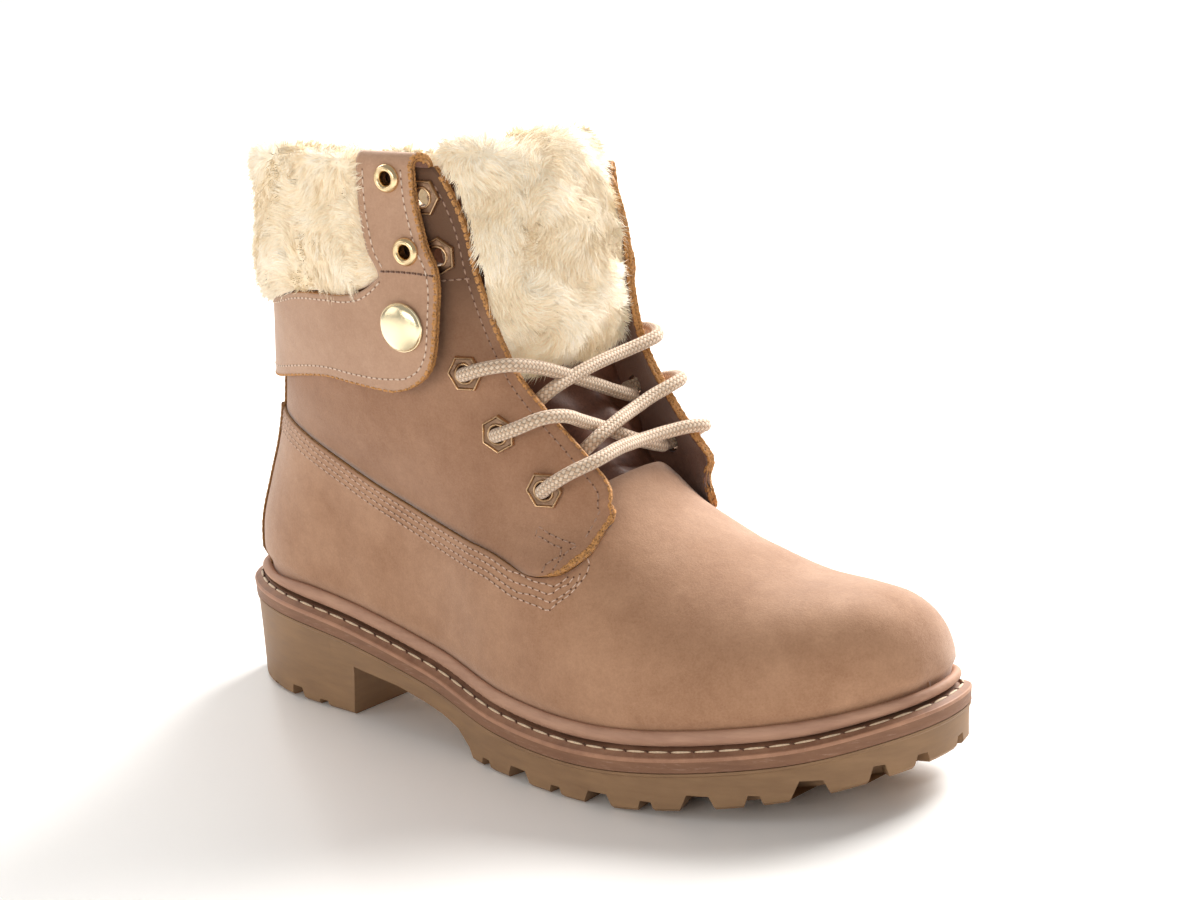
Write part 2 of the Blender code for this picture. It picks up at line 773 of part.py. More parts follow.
def bowed(rows, s, t):
    """Point of a bowed sheet; s runs along the table's rows 0 to 1, t across from -1 to 1."""
    steps = np.arange(len(rows["x"]))
    at = np.asarray(s, float) * steps[-1]
    x, z, half, drop_x, drop_z = (smooth_curve(steps, rows[name], at)
                                  for name in ("x", "z", "half", "drop_x", "drop_z"))
    return np.stack([x + drop_x * t * t, half * t, z + drop_z * t * t], -1)


def sheet_grid(rows, count, across):
    s, t = np.meshgrid(np.linspace(0, 1, count), np.linspace(-1, 1, across), indexing="ij")
    points = bowed(rows, s, t)
    normal = np.cross(np.gradient(points, axis=1), np.gradient(points, axis=0))
    return points, normal / np.linalg.norm(normal, axis=-1, keepdims=True)


def make_tongue(mat):
    points, normal = sheet_grid(TONGUE, 12, 9)
    bm, _ = two_skins(points, points - normal * TONGUE_THICK, np.ones((11, 8), bool))
    return finish("tongue", bm, mat)


def make_tongue_fur(mat):
    count, across = 11, 10
    front, _ = sheet_grid(TONGUE_FUR, count, across)
    backing = {name: column[4:] for name, column in TONGUE.items()}
    behind, normal = sheet_grid(backing, count - 2, across)
    behind = behind * [1, 0.96, 1] + normal * 0.9
    over = behind[-1:] + [-0.6, 0, 1.2]
    rear = behind[-1:] + [-3.2, 0, 1.2]
    behind = np.concatenate((behind, over, rear))
    bm, outside = two_skins(front, behind, np.ones((count - 1, across - 1), bool))
    locks(bm, outside, 2.0, Vector((0.2, 0, -0.9)))
    return finish("tongue_fur", bm, mat, False)


def locks(bm, faces, out, lean):
    """Raise each of the faces into a lock of fur that leans the way the fur lies."""
    bmesh.ops.recalc_face_normals(bm, faces=bm.faces)
    for i, face in enumerate(faces):
        normal = face.normal.copy()
        raised = bmesh.ops.poke(bm, faces=[face])["verts"][0]
        size = 0.7 + 0.3 * math.sin(i * 2.4) + 0.2 * math.sin(i * 5.1)
        raised.co += normal * out * size + lean * size


# ---------------------------------------------------------------- cuff

CUFF_THICK = 2.2
CUFF_FRONT = table(        # front edge of the cuff with its rounded lower corner
    "z x",
    (119.6, 79),
    (121.2, 85.5),
    (123.6, 90),
    (127.5, 93.8),
    (132, 95.6),
    (138, 96.6),
    (146, 97.4),
    (153, 98),
    (160, 97),
    (165, 94.7),
    (171, 93),
    (178, 91.3),
    (192, 90.2),
)
CUFF_STRIP = table(        # rear edge of the front strip
    "z x",
    (110, 72),
    (135, 78),
    (152, 78.5),
    (158, 77),
    (163, 73.6),
    (169, 71.8),
    (180, 70.3),
    (192, 70.6),
)
CUFF_BOTTOM = table("x z", (-6, 109), (11, 112), (27, 116), (48, 119.6), (62, 119.8), (80, 119.8),
                    (98, 119.8))
CUFF_BAND = table("x z", (-6, 136), (12, 138), (35, 145), (52, 147.3), (70, 149), (98, 152))
CUFF_BACK_TURNS = np.linspace(0, 1, 12)
CUFF_FRONT_TURNS = np.array([1.3, 1.65, 2.0])
CUFF_ROWS = np.array([0, 0.07, 0.17, 0.33, 0.6, 1, 1.25, 1.5, 1.75, 2.0])
ROLL = table(              # the leather rolls over the fold: rise over it, outer and inner offset
    "rise out lining",
    (1.2, 3.4, 0.9),
    (2.8, 1.6, 0.3),
    (3.1, -0.8, -1.0),
)


def cuff_lift(x, z):
    """Outer face of the cuff above the shaft's base form: it stands off at the front."""
    return 3.3 + (1.2 + 3.3 * (1 - soft_step((z - 128) / 56))) * soft_step((x - 25) / 65)


def cuff_place(turn, row):
    """x and z where a column (0 back, 1 strip, 2 front) meets a row (0 bottom, 1 band, 2 fold)."""
    turn, row = np.broadcast_arrays(np.asarray(turn, float), np.asarray(row, float))
    x, z = 80.0 * turn / 2, 115 + 37.0 * row
    for _ in range(30):
        back, strip = along(SHAFT, "z", "back", z), along(CUFF_STRIP, "z", "x", z)
        front = along(CUFF_FRONT, "z", "x", z)
        x = np.where(turn <= 1, back + (strip - back) * bunch(np.minimum(turn, 1)),
                     strip + (front - strip) * (turn - 1))
        band = along(CUFF_BAND, "x", "z", x)
        low = along(CUFF_BOTTOM, "x", "z", x)
        z = np.where(row <= 1, low + (band - low) * row, band + (collar_z(x) - band) * (row - 1))
    return x, z


def cuff_point(turn, row, side):
    x, z = settle(*cuff_place(turn, row), side)
    return on_form(x, z, side, upper_half)


def flat_place(turn, row, side):
    return np.stack(cuff_place(turn, row), -1)


def make_cuff(mat):
    turns = np.concatenate((CUFF_BACK_TURNS, CUFF_FRONT_TURNS))
    base = both_sides(cuff_point, turns, CUFF_ROWS[:, None])
    normal = grid_normals(base)
    places = both_sides(flat_place, turns, CUFF_ROWS[:, None])
    lift = cuff_lift(places[..., :1], places[..., 1:])
    outer = base + normal * lift
    inner = base + normal * (lift - CUFF_THICK)
    for rise, out, lining in zip(ROLL["rise"], ROLL["out"], ROLL["lining"]):
        top = base[-1:] + normal[-1:] * out + [0, 0, rise]
        under = base[-1:] + normal[-1:] * lining + [0, 0, min(rise, 0.6)]
        outer, inner = np.concatenate((outer, top)), np.concatenate((inner, under))
    cells = np.ones((len(outer) - 1, outer.shape[1] - 1), bool)
    band_rows = int(np.sum(CUFF_ROWS < 1))
    strip_cells = len(CUFF_FRONT_TURNS)
    cells[band_rows:, strip_cells:-strip_cells] = False
    bm, _ = two_skins(outer, inner, cells)
    cuff = finish("cuff", bm, mat)
    combine(cuff, "DIFFERENCE", [hole_cutter("cuff_cutter", CUFF_EYELETS, CUFF_HOLE_RADIUS, cuff_lift, mat)])
    return cuff


FUR_ROWS = np.array([1.0, 1.18, 1.36, 1.54, 1.72, 1.9])
FUR_OUT = np.array([5.5, 8.6, 9.3, 9.3, 9.0, 7.6])
FUR_ROLL = table(          # over the fold and down inside
    "rise out lining",
    (2.6, 5.6, 1.0),
    (3.8, 1.0, 0.4),
    (3.0, -4.5, -2.1),
    (-4.5, -6.0, -2.2),
)


def make_cuff_fur(mat):
    turns = np.linspace(0, 0.985, 14)
    base = both_sides(cuff_point, turns, FUR_ROWS[:, None])
    base[0] += [0, 0, 0.8]
    normal = grid_normals(base)
    outer = base + normal * FUR_OUT[:, None, None]
    inner = base + normal * 1.0
    fold = both_sides(cuff_point, turns, np.array([[2.0]]))
    for rise, out, lining in zip(FUR_ROLL["rise"], FUR_ROLL["out"], FUR_ROLL["lining"]):
        outer = np.concatenate((outer, fold + normal[-1:] * out + [0, 0, rise]))
        inner = np.concatenate((inner, fold + normal[-1:] * lining + [0, 0, min(rise, 0.6)]))
    bm, outside = two_skins(outer, inner, np.ones((len(outer) - 1, outer.shape[1] - 1), bool))
    locks(bm, outside, 1.6, Vector((0, 0, -0.8)))
    return finish("cuff_fur", bm, mat, False)


# ---------------------------------------------------------------- eyelets and snaps

EYELETS = table(           # hex eyelets from the top of the shaft to the flap's corner
    "x z twist",
    (91.8, 180.3, 0.0),
    (96.3, 162.3, 0.5),
    (102.1, 125.7, 0.0),
    (112.2, 107.1, 0.5),
    (127.4, 90.8, 0.0),
)
HEX_EYELET = table("radius rise flat", (2.7, -1.9, 0), (2.9, 1.2, 0), (4.9, 1.4, 1), (5.2, 0.4, 1),
                   (3.2, 0.4, 0), (3.2, -1.9, 0))
HOLE_RADIUS = 3.55
CUFF_EYELETS = table("x z", (82.2, 186.4), (88.2, 164.3))
ROUND_EYELET = table("radius rise flat", (2.0, -1.7, 0), (2.2, 1.2, 0), (4.2, 1.6, 0), (4.6, 0.8, 0),
                     (2.5, 0.8, 0), (2.5, -1.7, 0))
CUFF_HOLE_RADIUS = 2.95
SNAP = (86.0, 141.2)
SNAP_CAP = table("radius rise", (7.4, 0.6), (7.8, 1.1), (6.9, 2.2), (4.0, 3.0))


def wall_frame(x, z, side, lift):
    """Matrix with its Z axis out of the wall and its Y axis up the wall."""
    place, normal, up = form_frame(*settle(x, z, side), side, upper_half, lift)
    sideways = np.cross(up, normal)
    frame = Matrix([[*row] for row in np.stack((sideways, up, normal), axis=1)]).to_4x4()
    frame.translation = Vector(place)
    return frame


def ring_points(radius, rise, flat, count, twist):
    """Level loop: a circle, or a hexagon of that inner radius where flat is set."""
    sector = math.pi / 3
    points = []
    for i in range(count):
        angle = i * 2 * math.pi / count
        local = (angle - twist * sector) % sector - sector / 2
        reach = radius / math.cos(local) if flat else radius
        points.append(Vector((reach * math.cos(angle), reach * math.sin(angle), rise)))
    return points


def lathe(bm, rows, count, frame, twist=0.0, closed=True):
    rings = []
    for i in range(len(rows["radius"])):
        flat = rows["flat"][i] if "flat" in rows else 0
        loop = ring_points(rows["radius"][i], rows["rise"][i], flat, count, twist)
        rings.append([bm.verts.new(frame @ p) for p in loop])
    pairs = list(zip(rings, rings[1:] + rings[:1])) if closed else list(zip(rings, rings[1:]))
    for low, high in pairs:
        for i in range(count):
            j = (i + 1) % count
            bm.faces.new([low[i], low[j], high[j], high[i]])
    if not closed:
        bm.faces.new(rings[0][::-1])
        bm.faces.new(rings[-1])


def eyelet_lift(x, z):
    """The eyelet sits on the highest part of the wall under its flange."""
    return shaft_outer(x + 3, z - 4)


def make_eyelets(mat):
    for side in (LATERAL, MEDIAL):
        for i in range(len(EYELETS["x"])):
            x, z, twist = (float(EYELETS[name][i]) for name in ("x", "z", "twist"))
            bm = bmesh.new()
            lathe(bm, HEX_EYELET, 12, wall_frame(x, z, side, float(eyelet_lift(x, z))), twist)
            finish(f"eyelet_{SIDE_NAMES[side]}_{i + 1}", bm, mat)
        for i in range(len(CUFF_EYELETS["x"])):
            x, z = (float(CUFF_EYELETS[name][i]) for name in ("x", "z"))
            bm = bmesh.new()
            lathe(bm, ROUND_EYELET, 12, wall_frame(x, z, side, float(cuff_lift(x, z))))
            finish(f"cuff_eyelet_{SIDE_NAMES[side]}_{i + 1}", bm, mat)
        bm = bmesh.new()
        lathe(bm, SNAP_CAP, 20, wall_frame(*SNAP, side, float(cuff_lift(*SNAP))), closed=False)
        finish(f"snap_{SIDE_NAMES[side]}", bm, mat)


def hole_cutter(name, places, radius, lift, mat):
    rows = {"radius": np.array([radius, radius]), "rise": np.array([-5.0, 5.0])}
    bm = bmesh.new()
    for side in (LATERAL, MEDIAL):
        for x, z in zip(places["x"], places["z"]):
            lathe(bm, rows, 12, wall_frame(float(x), float(z), side, float(lift(x, z))), closed=False)
    return finish(name, bm, mat, False)


# ---------------------------------------------------------------- laces

LACE = 4.3
LACE_RUNS = {               # x, y and z of each run's middle line
    "top_over": table(
        "x y z",
        (104, -41.3, 127.2), (112.5, -39.6, 129), (119, -35.5, 130), (121.4, -26, 127.6),
        (121.8, -12, 121.9), (121.4, 2, 115.5), (121, 13, 110.4), (118.8, 22, 107),
        (115, 28.2, 106.4),
    ),
    "top_back": table(
        "x y z",
        (113, -28.3, 108.5), (118.5, -26, 114), (121.8, -21, 118.4), (122.4, -10, 121),
        (121.6, 4, 122.3), (121, 17, 122.8), (122.2, 25, 123.8), (122.4, 30.5, 124.4),
        (118.6, 35.8, 124.4), (111, 39.6, 124), (104, 41.6, 124.5),
    ),
    "middle_over": table(
        "x y z",
        (114, -39.4, 108.6), (124, -38.6, 111.5), (131, -34, 114.6), (132.8, -27, 113.8),
        (131.8, -17, 109.5), (131.4, -5, 104), (133, 3, 99.6), (132.8, 12, 95.6),
        (131.5, 20, 92.6), (129.5, 26.3, 91.2),
    ),
    "middle_back": table(
        "x y z",
        (127.5, -24, 92.5), (131, -21, 98), (134.6, -16.5, 103), (134.6, -6, 106.4),
        (131.6, 8, 107.7), (131.6, 17, 109.6), (132.8, 24, 111.2), (132.4, 29.5, 111.8),
        (128, 34.6, 111), (121, 38, 109.4), (114, 39.8, 108),
    ),
    "bottom_bar": table(
        "x y z",
        (129, -36.9, 92.5), (135, -36, 95), (141, -34, 98.8), (144, -27.8, 100.7),
        (142, -12, 101.3), (139.2, 2, 100), (140, 14, 99.8), (142.3, 22, 99.8),
        (142.9, 26.8, 99), (139.8, 31.6, 97.4), (134.6, 36.4, 95.2), (129, 39.8, 92.5),
    ),
}


def tube(route, radius, around=7, spacing=5.5):
    """Round cord along a route, flat ended."""
    points = np.stack([route[name] for name in ("x", "y", "z")], -1)
    run = np.concatenate(([0], np.cumsum(np.linalg.norm(np.diff(points, axis=0), axis=1))))
    count = max(4, int(run[-1] / spacing))
    at = np.linspace(0, run[-1], count + 1)
    path = np.stack([smooth_curve(run, points[:, i], at) for i in range(3)], -1)
    bm = bmesh.new()
    side = None
    rings = []
    for i, centre in enumerate(path):
        ahead = Vector(path[min(i + 1, count)] - path[max(i - 1, 0)]).normalized()
        side = ahead.orthogonal() if side is None else side - ahead * side.dot(ahead)
        side = side.normalized()
        up = ahead.cross(side)
        turn = [k * 2 * math.pi / around for k in range(around)]
        rings.append([bm.verts.new(Vector(centre) + (side * math.cos(a) + up * math.sin(a)) * radius)
                      for a in turn])
    for low, high in zip(rings, rings[1:]):
        for i in range(around):
            j = (i + 1) % around
            bm.faces.new([low[i], low[j], high[j], high[i]])
    bm.faces.new(rings[0][::-1])
    bm.faces.new(rings[-1])
    return bm


def make_laces(mat):
    runs = {name: finish("lace_" + name, tube(route, LACE / 2), mat) for name, route in LACE_RUNS.items()}
    combine(runs["top_over"], "UNION", [runs["top_back"]])
    combine(runs["middle_over"], "UNION", [runs["middle_back"]])


# ---------------------------------------------------------------- assembly

def build():
    for old in list(bpy.data.objects):
        bpy.data.objects.remove(old, do_unlink=True)
    leather = material("nubuck", (0.42, 0.26, 0.20), 0.75)
    rubber = material("tan rubber", (0.20, 0.14, 0.085), 0.6)
    band = material("rose rubber", (0.33, 0.19, 0.145), 0.55)
    fur = material("cream fur", (0.80, 0.70, 0.53), 0.9)
    metal = material("brass", (0.72, 0.52, 0.28), 0.3, 1.0)
    cord = material("cord", (0.62, 0.48, 0.36), 0.8)
    make_outsole(rubber)
    make_midsole(band)
    make_rand(band)
    make_insole(leather)
    make_upper(leather)
    make_tongue(leather)
    make_tongue_fur(fur)
    make_cuff(leather)
    make_cuff_fur(fur)
    make_eyelets(metal)
    make_laces(cord)


build()
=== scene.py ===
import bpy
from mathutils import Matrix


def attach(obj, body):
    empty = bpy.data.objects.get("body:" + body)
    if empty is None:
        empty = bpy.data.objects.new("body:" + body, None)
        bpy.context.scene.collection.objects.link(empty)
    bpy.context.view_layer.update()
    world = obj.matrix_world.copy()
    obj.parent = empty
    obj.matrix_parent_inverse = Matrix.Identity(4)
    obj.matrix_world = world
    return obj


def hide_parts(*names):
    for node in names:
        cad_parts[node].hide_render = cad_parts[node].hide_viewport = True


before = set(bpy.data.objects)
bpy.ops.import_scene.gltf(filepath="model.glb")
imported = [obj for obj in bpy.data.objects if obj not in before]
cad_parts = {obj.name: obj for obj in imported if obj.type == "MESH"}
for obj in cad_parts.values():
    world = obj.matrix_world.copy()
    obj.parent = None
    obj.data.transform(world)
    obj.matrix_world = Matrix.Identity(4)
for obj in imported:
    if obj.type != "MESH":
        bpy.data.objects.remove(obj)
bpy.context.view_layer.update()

import math

import bmesh
import bpy
import numpy as np
from mathutils import Matrix, Vector
from mathutils.kdtree import KDTree

# Sizes are in millimetres, in the boot's own frame: +X to the toe, -Y to the outer side, +Z up.
# finish_piece and cutter_of turn them into metres. Lights and floor are placed in metres.
MM = 0.001
LATERAL, MEDIAL = -1, 1
SIDES = {LATERAL: "lateral", MEDIAL: "medial"}


def table(names, *rows):
    """Short table: a dictionary of columns."""
    return {name: np.array(column, float) for name, column in zip(names.split(), zip(*rows))}


# ---- driving sizes

HEEL_BACK = -30.5
SOLE_LENGTH = 275.5
SOLE_BAND = 5.0
LEDGE_RISE = 2.0
LEDGE_WIDTH = 4.0
RAND_WIDTH = 2.4
RAND_HEIGHT = 5.0
RAND_FOOT = 2.3
RAND_HOOPS = 13
RIB_PITCH = 3.4
WELT_PITCH = 7.6
WELT_INSET = 2.75
FEATHER_INSET = 5.2
TUCK = 2.2
COLLAR_BACK_Z = 179.0
COLLAR_SLOPE = 0.035
COLLAR_TILT = 0.195
SETTLE_DOWN = 15.6
SETTLE_FORWARD = 10.0
THROAT = (137.0, 90.5)
SEAM_BACK_Z = 99.5
FLAP_CORNER_Z = 72.8
CORNER_TURN = 0.88
SEAM_TURN = 0.80
SHAFT_WALL = 0.2
LOWER_LAP = 1.2
FLAP_LAP = 2.8

SOLE_EDGE = table(
    "share lateral medial", (0, 0, 0), (0.03, -17.5, 17.5), (0.12, -30.7, 32), (0.26, -34.8, 30.5),
    (0.4, -38.4, 28.5), (0.52, -47.6, 35.6), (0.67, -52.2, 46.8), (0.79, -46.8, 49.3),
    (0.9, -31.5, 44.8), (0.975, -10.5, 33.5), (1, 10.8, 10.8))
SOLE_LEVELS = table(
    "x step ground", (-30.5, 34.9, 0), (5, 34.3, 0), (40, 30.9, 0), (75, 24.6, 0), (115, 18.6, 0),
    (160, 17.6, 0), (195, 20.8, 3.6), (220, 24.1, 7.4), (245, 30.4, 14))
RIDGE = table(
    "x z", (239.3, 33.5), (238.2, 45.5), (232.8, 54.5), (224, 59.4), (212, 60.8), (192, 62.2),
    (169, 69.2), (153, 76.8), (145, 82), (137, 90.5), (120, 112), (106, 150), (100, 200))
SHAFT = table(
    "z back front half", (35, -24.5, 195, 30), (55, -23.5, 183, 31.5), (70, -17.5, 176, 33),
    (86, -10.2, 167, 35), (104, -3.6, 150, 37.6), (121, -0.5, 139, 39), (138, 1.4, 134, 40.2),
    (155, 1.3, 132, 41), (194, 0, 125, 41))
CENTRE = table("x y", (-31, 0), (60, 0), (110, 1), (170, 5), (215, 9), (245, 10.8))
FULLNESS = table("x power", (-31, 2.3), (100, 2.2), (150, 2.3), (200, 2.35), (245, 2.6))
SEAM = table(
    "turn x z", (0, -4.9, 99.5), (0.1, 14, 96.4), (0.22, 36, 89.9), (0.36, 60, 80.9),
    (0.52, 86, 73.4), (0.66, 109, 69.9), (0.8, 132, 65.2), (0.84, 139, 67.2), (0.88, 143, 72.8),
    (0.91, 140.2, 78.5), (0.94, 137, 84), (0.97, 136, 88.5), (1, 137, 90.5))
FLAP_EDGE = table(
    "z x", (72.8, 143), (77, 143.3), (81.5, 144.2), (86, 145.6), (89.5, 146.1), (93, 144.6),
    (97.5, 141), (104, 135.5), (116, 125), (124, 119), (134, 114.5), (154, 108.5), (174, 104),
    (184, 99.5), (191, 95))
FEATHER_TURN = table(
    "turn angle", (0, 0), (0.12, 0.17), (0.4, 0.4), (0.62, 0.52), (0.8, 0.64), (0.88, 0.74),
    (0.94, 0.86), (1, 1))
FLAP_RISE = (116, 136)     # x between which the flap lifts off the lower panel
FLAP_FALL = (76, 104)      # z between which it comes back to the shaft
MEDIAL_FLARE = 3.2
MEDIAL_HOLLOW = 2.0


# ---- curves and the boot's form

def smooth_curve(knots, values, at):
    """Smooth curve through a short table, straight runs kept straight."""
    at = np.clip(np.asarray(at, float), knots[0], knots[-1])
    run = np.diff(knots)
    slope = np.diff(values) / run
    inner = (slope[:-1] * run[1:] + slope[1:] * run[:-1]) / (run[:-1] + run[1:])
    lean = np.concatenate(([slope[0]], inner, [slope[-1]]))
    i = np.clip(np.searchsorted(knots, at, side="right") - 1, 0, len(run) - 1)
    s = (at - knots[i]) / run[i]
    rise = values[i + 1] - values[i]
    bend_in = run[i] * lean[i] - rise
    bend_out = rise - run[i] * lean[i + 1]
    return values[i] + s * rise + s * (1 - s) * ((1 - s) * bend_in + s * bend_out)


def along(rows, name, at):
    """One column of a table as a curve over its first column."""
    return smooth_curve(next(iter(rows.values())), rows[name], at)


def soft_step(t):
    """0 below 0, 1 above 1, smooth between."""
    t = np.clip(t, 0.0, 1.0)
    return t * t * (3 - 2 * t)


def unit(vectors):
    return vectors / np.linalg.norm(vectors, axis=-1, keepdims=True)


def heading(line):
    """Directions along a line of places."""
    return unit(np.gradient(line, axis=0))


def read_off(values, run, at):
    """Values given along a run, at other lengths of it."""
    return np.stack([np.interp(at, run, values[:, i]) for i in range(values.shape[1])], -1)


def length_along(points):
    return np.concatenate(([0], np.cumsum(np.linalg.norm(np.diff(points, axis=0), axis=1))))


def through(points, count):
    """Smooth path through a few places, evenly spaced."""
    points = np.asarray(points, float)
    run = length_along(points)
    at = np.linspace(0, run[-1], count)
    return np.stack([smooth_curve(run, points[:, i], at) for i in range(points.shape[1])], -1)


def closed_outline():
    out = np.arccos(1 - 2 * SOLE_EDGE["share"])
    knots = np.concatenate((out, 2 * math.pi - out[-2::-1]))
    y = np.concatenate((SOLE_EDGE["lateral"], SOLE_EDGE["medial"][-2::-1]))
    knots = np.concatenate((knots[-3:-1] - 2 * math.pi, knots, knots[1:3] + 2 * math.pi))
    return knots, np.concatenate((y[-3:-1], y, y[1:3]))


OUTLINE_KNOTS, OUTLINE_Y = closed_outline()


def sole_edge(angle):
    """Step edge of the midsole: 0 at the heel's back, pi at the toe, through the lateral side."""
    angle = np.mod(np.asarray(angle, float), 2 * math.pi)
    x = HEEL_BACK + SOLE_LENGTH * (1 - np.cos(angle)) / 2
    return x, smooth_curve(OUTLINE_KNOTS, OUTLINE_Y, angle)


def sole_tangent(angle):
    x1, y1 = sole_edge(angle + 1e-3)
    x0, y0 = sole_edge(angle - 1e-3)
    size = np.hypot(x1 - x0, y1 - y0)
    return (x1 - x0) / size, (y1 - y0) / size


def inset_edge(angle, inset):
    x, y = sole_edge(angle)
    tx, ty = sole_tangent(angle)
    return x - inset * ty, y + inset * tx


def sole_z(x, name):
    return np.maximum(along(SOLE_LEVELS, name, x), 0)


def feather_z(x):
    return sole_z(x, "step") + LEDGE_RISE + 0.3


RIDGE_LINE = through(np.stack([RIDGE["x"], RIDGE["z"]], -1), 400)
HALF_TURN = np.linspace(0, math.pi, 241)
FEATHER = {side: np.stack(inset_edge(turn, FEATHER_INSET), -1)
           for side, turn in ((LATERAL, HALF_TURN), (MEDIAL, 2 * math.pi - HALF_TURN))}
FEATHER_BACK, FEATHER_TOE = FEATHER[LATERAL][[0, -1], 0].tolist()
HEEL_ROUND_END = 40.0
SHAFT_POWER = 2.3
BUNCHING = 0.6


def centre_y(x, z):
    in_foot = 1 - soft_step((z - 50) / 50) * (1 - soft_step((x - 120) / 40))
    return along(CENTRE, "y", x) * in_foot


def ridge_z(x):
    return np.interp(-np.asarray(x, float), -RIDGE_LINE[:, 0], RIDGE_LINE[:, 1])


def foot_half(x, z, side):
    """Half width from upright sections: the plan outline rounded off towards the ridge."""
    back = along(SHAFT, "back", z)
    stretch = (HEEL_ROUND_END - FEATHER_BACK) / (HEEL_ROUND_END - back)
    plan_x = np.where(x < HEEL_ROUND_END, HEEL_ROUND_END - (HEEL_ROUND_END - x) * stretch, x)
    plan_y = np.interp(plan_x, FEATHER[side][:, 0], FEATHER[side][:, 1])
    width = np.abs(plan_y - along(CENTRE, "y", plan_x))
    low = feather_z(x)
    height = np.clip((z - low) / np.maximum(ridge_z(x) - low, 1e-3), 0, 1)
    power = along(FULLNESS, "power", x)
    return width * (1 - height ** power) ** (1 / power)


def shaft_half(x, z):
    """Half width from level sections of the shaft."""
    back, front = along(SHAFT, "back", z), along(SHAFT, "front", z)
    t = np.clip(np.abs(2 * x - back - front) / (front - back), 0, 1)
    return along(SHAFT, "half", z) * (1 - t ** SHAFT_POWER) ** (1 / SHAFT_POWER)


def lower_half(x, z, side):
    to_shaft = soft_step((z - 52) / 56) * (1 - soft_step((x - 85) / 50))
    return (1 - to_shaft) * foot_half(x, z, side) + to_shaft * shaft_half(x, z)


def upper_half(x, z, side):
    """Half width of the shaft and its flaps, which leave the lower panel above the seam."""
    joined = SEAM["turn"] <= SEAM_TURN
    rise = z - smooth_curve(SEAM["x"][joined], SEAM["z"][joined], x)
    to_shaft = soft_step(rise / 24)
    return (1 - to_shaft) * lower_half(x, z, side) + to_shaft * shaft_half(x, z)


def settle(x, z, side):
    """The shaft's medial side leans down and forward, and its flap's foot flares forward."""
    if side == LATERAL:
        return x, z
    share = np.minimum(shaft_half(x, z) / 38, 1) * soft_step((z - 105) / 80)
    flare = MEDIAL_FLARE * np.exp(-((z - 75) / 5) ** 2) - MEDIAL_HOLLOW * np.exp(-((z - 93) / 6) ** 2)
    forward = SETTLE_FORWARD * share * soft_step(x / 100) + flare * soft_step((x - 126) / 14)
    return x + forward, z - SETTLE_DOWN * share


def on_form(x, z, side, half):
    return np.stack([x, centre_y(x, z) + side * half(x, z, side), z], -1)


def fill_between(u, v, bottom, top, back, front):
    """Point of a patch between four edges; u runs from back to front, v upwards."""
    u, v = np.asarray(u, float), np.asarray(v, float)
    corner = [[edge(np.array([end]))[0] for end in (0.0, 1.0)] for edge in (bottom, top)]
    cu, cv = u[..., None], v[..., None]
    flat = (1 - cu) * (1 - cv) * corner[0][0] + cu * (1 - cv) * corner[0][1]
    flat = flat + (1 - cu) * cv * corner[1][0] + cu * cv * corner[1][1]
    return (1 - cv) * bottom(u) + cv * top(u) + (1 - cu) * back(v) + cu * front(v) - flat


def upright(rows, name, low, high):
    """Edge of a patch that rises through a table's heights."""
    def line(v):
        z = low + (high - low) * np.asarray(v, float)
        return np.stack([along(rows, name, z), z], -1)
    return line


def feather_line(u):
    angle = math.pi * along(FEATHER_TURN, "angle", u)
    x = FEATHER_BACK + (FEATHER_TOE - FEATHER_BACK) * (1 - np.cos(angle)) / 2
    return np.stack([x, feather_z(x)], -1)


def bunch(u):
    """Closer columns where the back rounds off."""
    u = np.asarray(u, float)
    return u * u * (1 + BUNCHING) / (u + BUNCHING)


def seam_line(u):
    turn = np.where(u < SEAM_TURN, bunch(u / SEAM_TURN) * SEAM_TURN, u)
    return np.stack([along(SEAM, name, turn) for name in ("x", "z")], -1)


def ridge_line(v):
    """Vamp's centre line from the toe's feather edge to the throat."""
    last = np.argmin(np.hypot(RIDGE_LINE[:, 0] - THROAT[0], RIDGE_LINE[:, 1] - THROAT[1]))
    return read_off(RIDGE_LINE, np.arange(len(RIDGE_LINE)), np.asarray(v, float) * last)


LOWER_EDGES = (feather_line, seam_line,
               upright(SHAFT, "back", feather_z(FEATHER_BACK), SEAM_BACK_Z), ridge_line)


def lower_point(u, v, side):
    """The lower panel: u 0 at the back to 1 on the ridge, v 0 at the sole to 1 at the seam."""
    flat = fill_between(u, v, *LOWER_EDGES)
    return on_form(flat[..., 0], flat[..., 1], side, lower_half)


def collar_z(x):
    """Height of the fold on the lateral side."""
    back = along(SHAFT, "back", COLLAR_BACK_Z)
    return COLLAR_BACK_Z + COLLAR_SLOPE * (x - back) + COLLAR_TILT * shaft_half(x, COLLAR_BACK_Z)


COLLAR_FRONT_Z = float(collar_z(FLAP_EDGE["x"][-1]))


def collar_line(w):
    back = along(SHAFT, "back", COLLAR_BACK_Z)
    x = back + (FLAP_EDGE["x"][-1] - back) * bunch(w)
    return np.stack([x, collar_z(x)], -1)


def shaft_bottom(w):
    return seam_line(np.asarray(w, float) * CORNER_TURN)


SHAFT_EDGES = (shaft_bottom, collar_line, upright(SHAFT, "back", SEAM_BACK_Z, COLLAR_BACK_Z),
               upright(FLAP_EDGE, "x", FLAP_CORNER_Z, COLLAR_FRONT_Z))


def shaft_point(w, v, side):
    """The shaft: w 0 at the back to 1 at the front edge, v 0 at the seam to 1 at the fold."""
    flat = fill_between(w, v, *SHAFT_EDGES)
    x, z = settle(flat[..., 0], flat[..., 1], side)
    return on_form(x, z, side, upper_half)


def flap_share(x, z):
    """1 where the flap laps over the lower panel, 0 where the shaft lies under it."""
    forward, high = (soft_step((at - start) / (end - start))
                     for at, (start, end) in ((x, FLAP_RISE), (z, FLAP_FALL)))
    return forward * (1 - high)


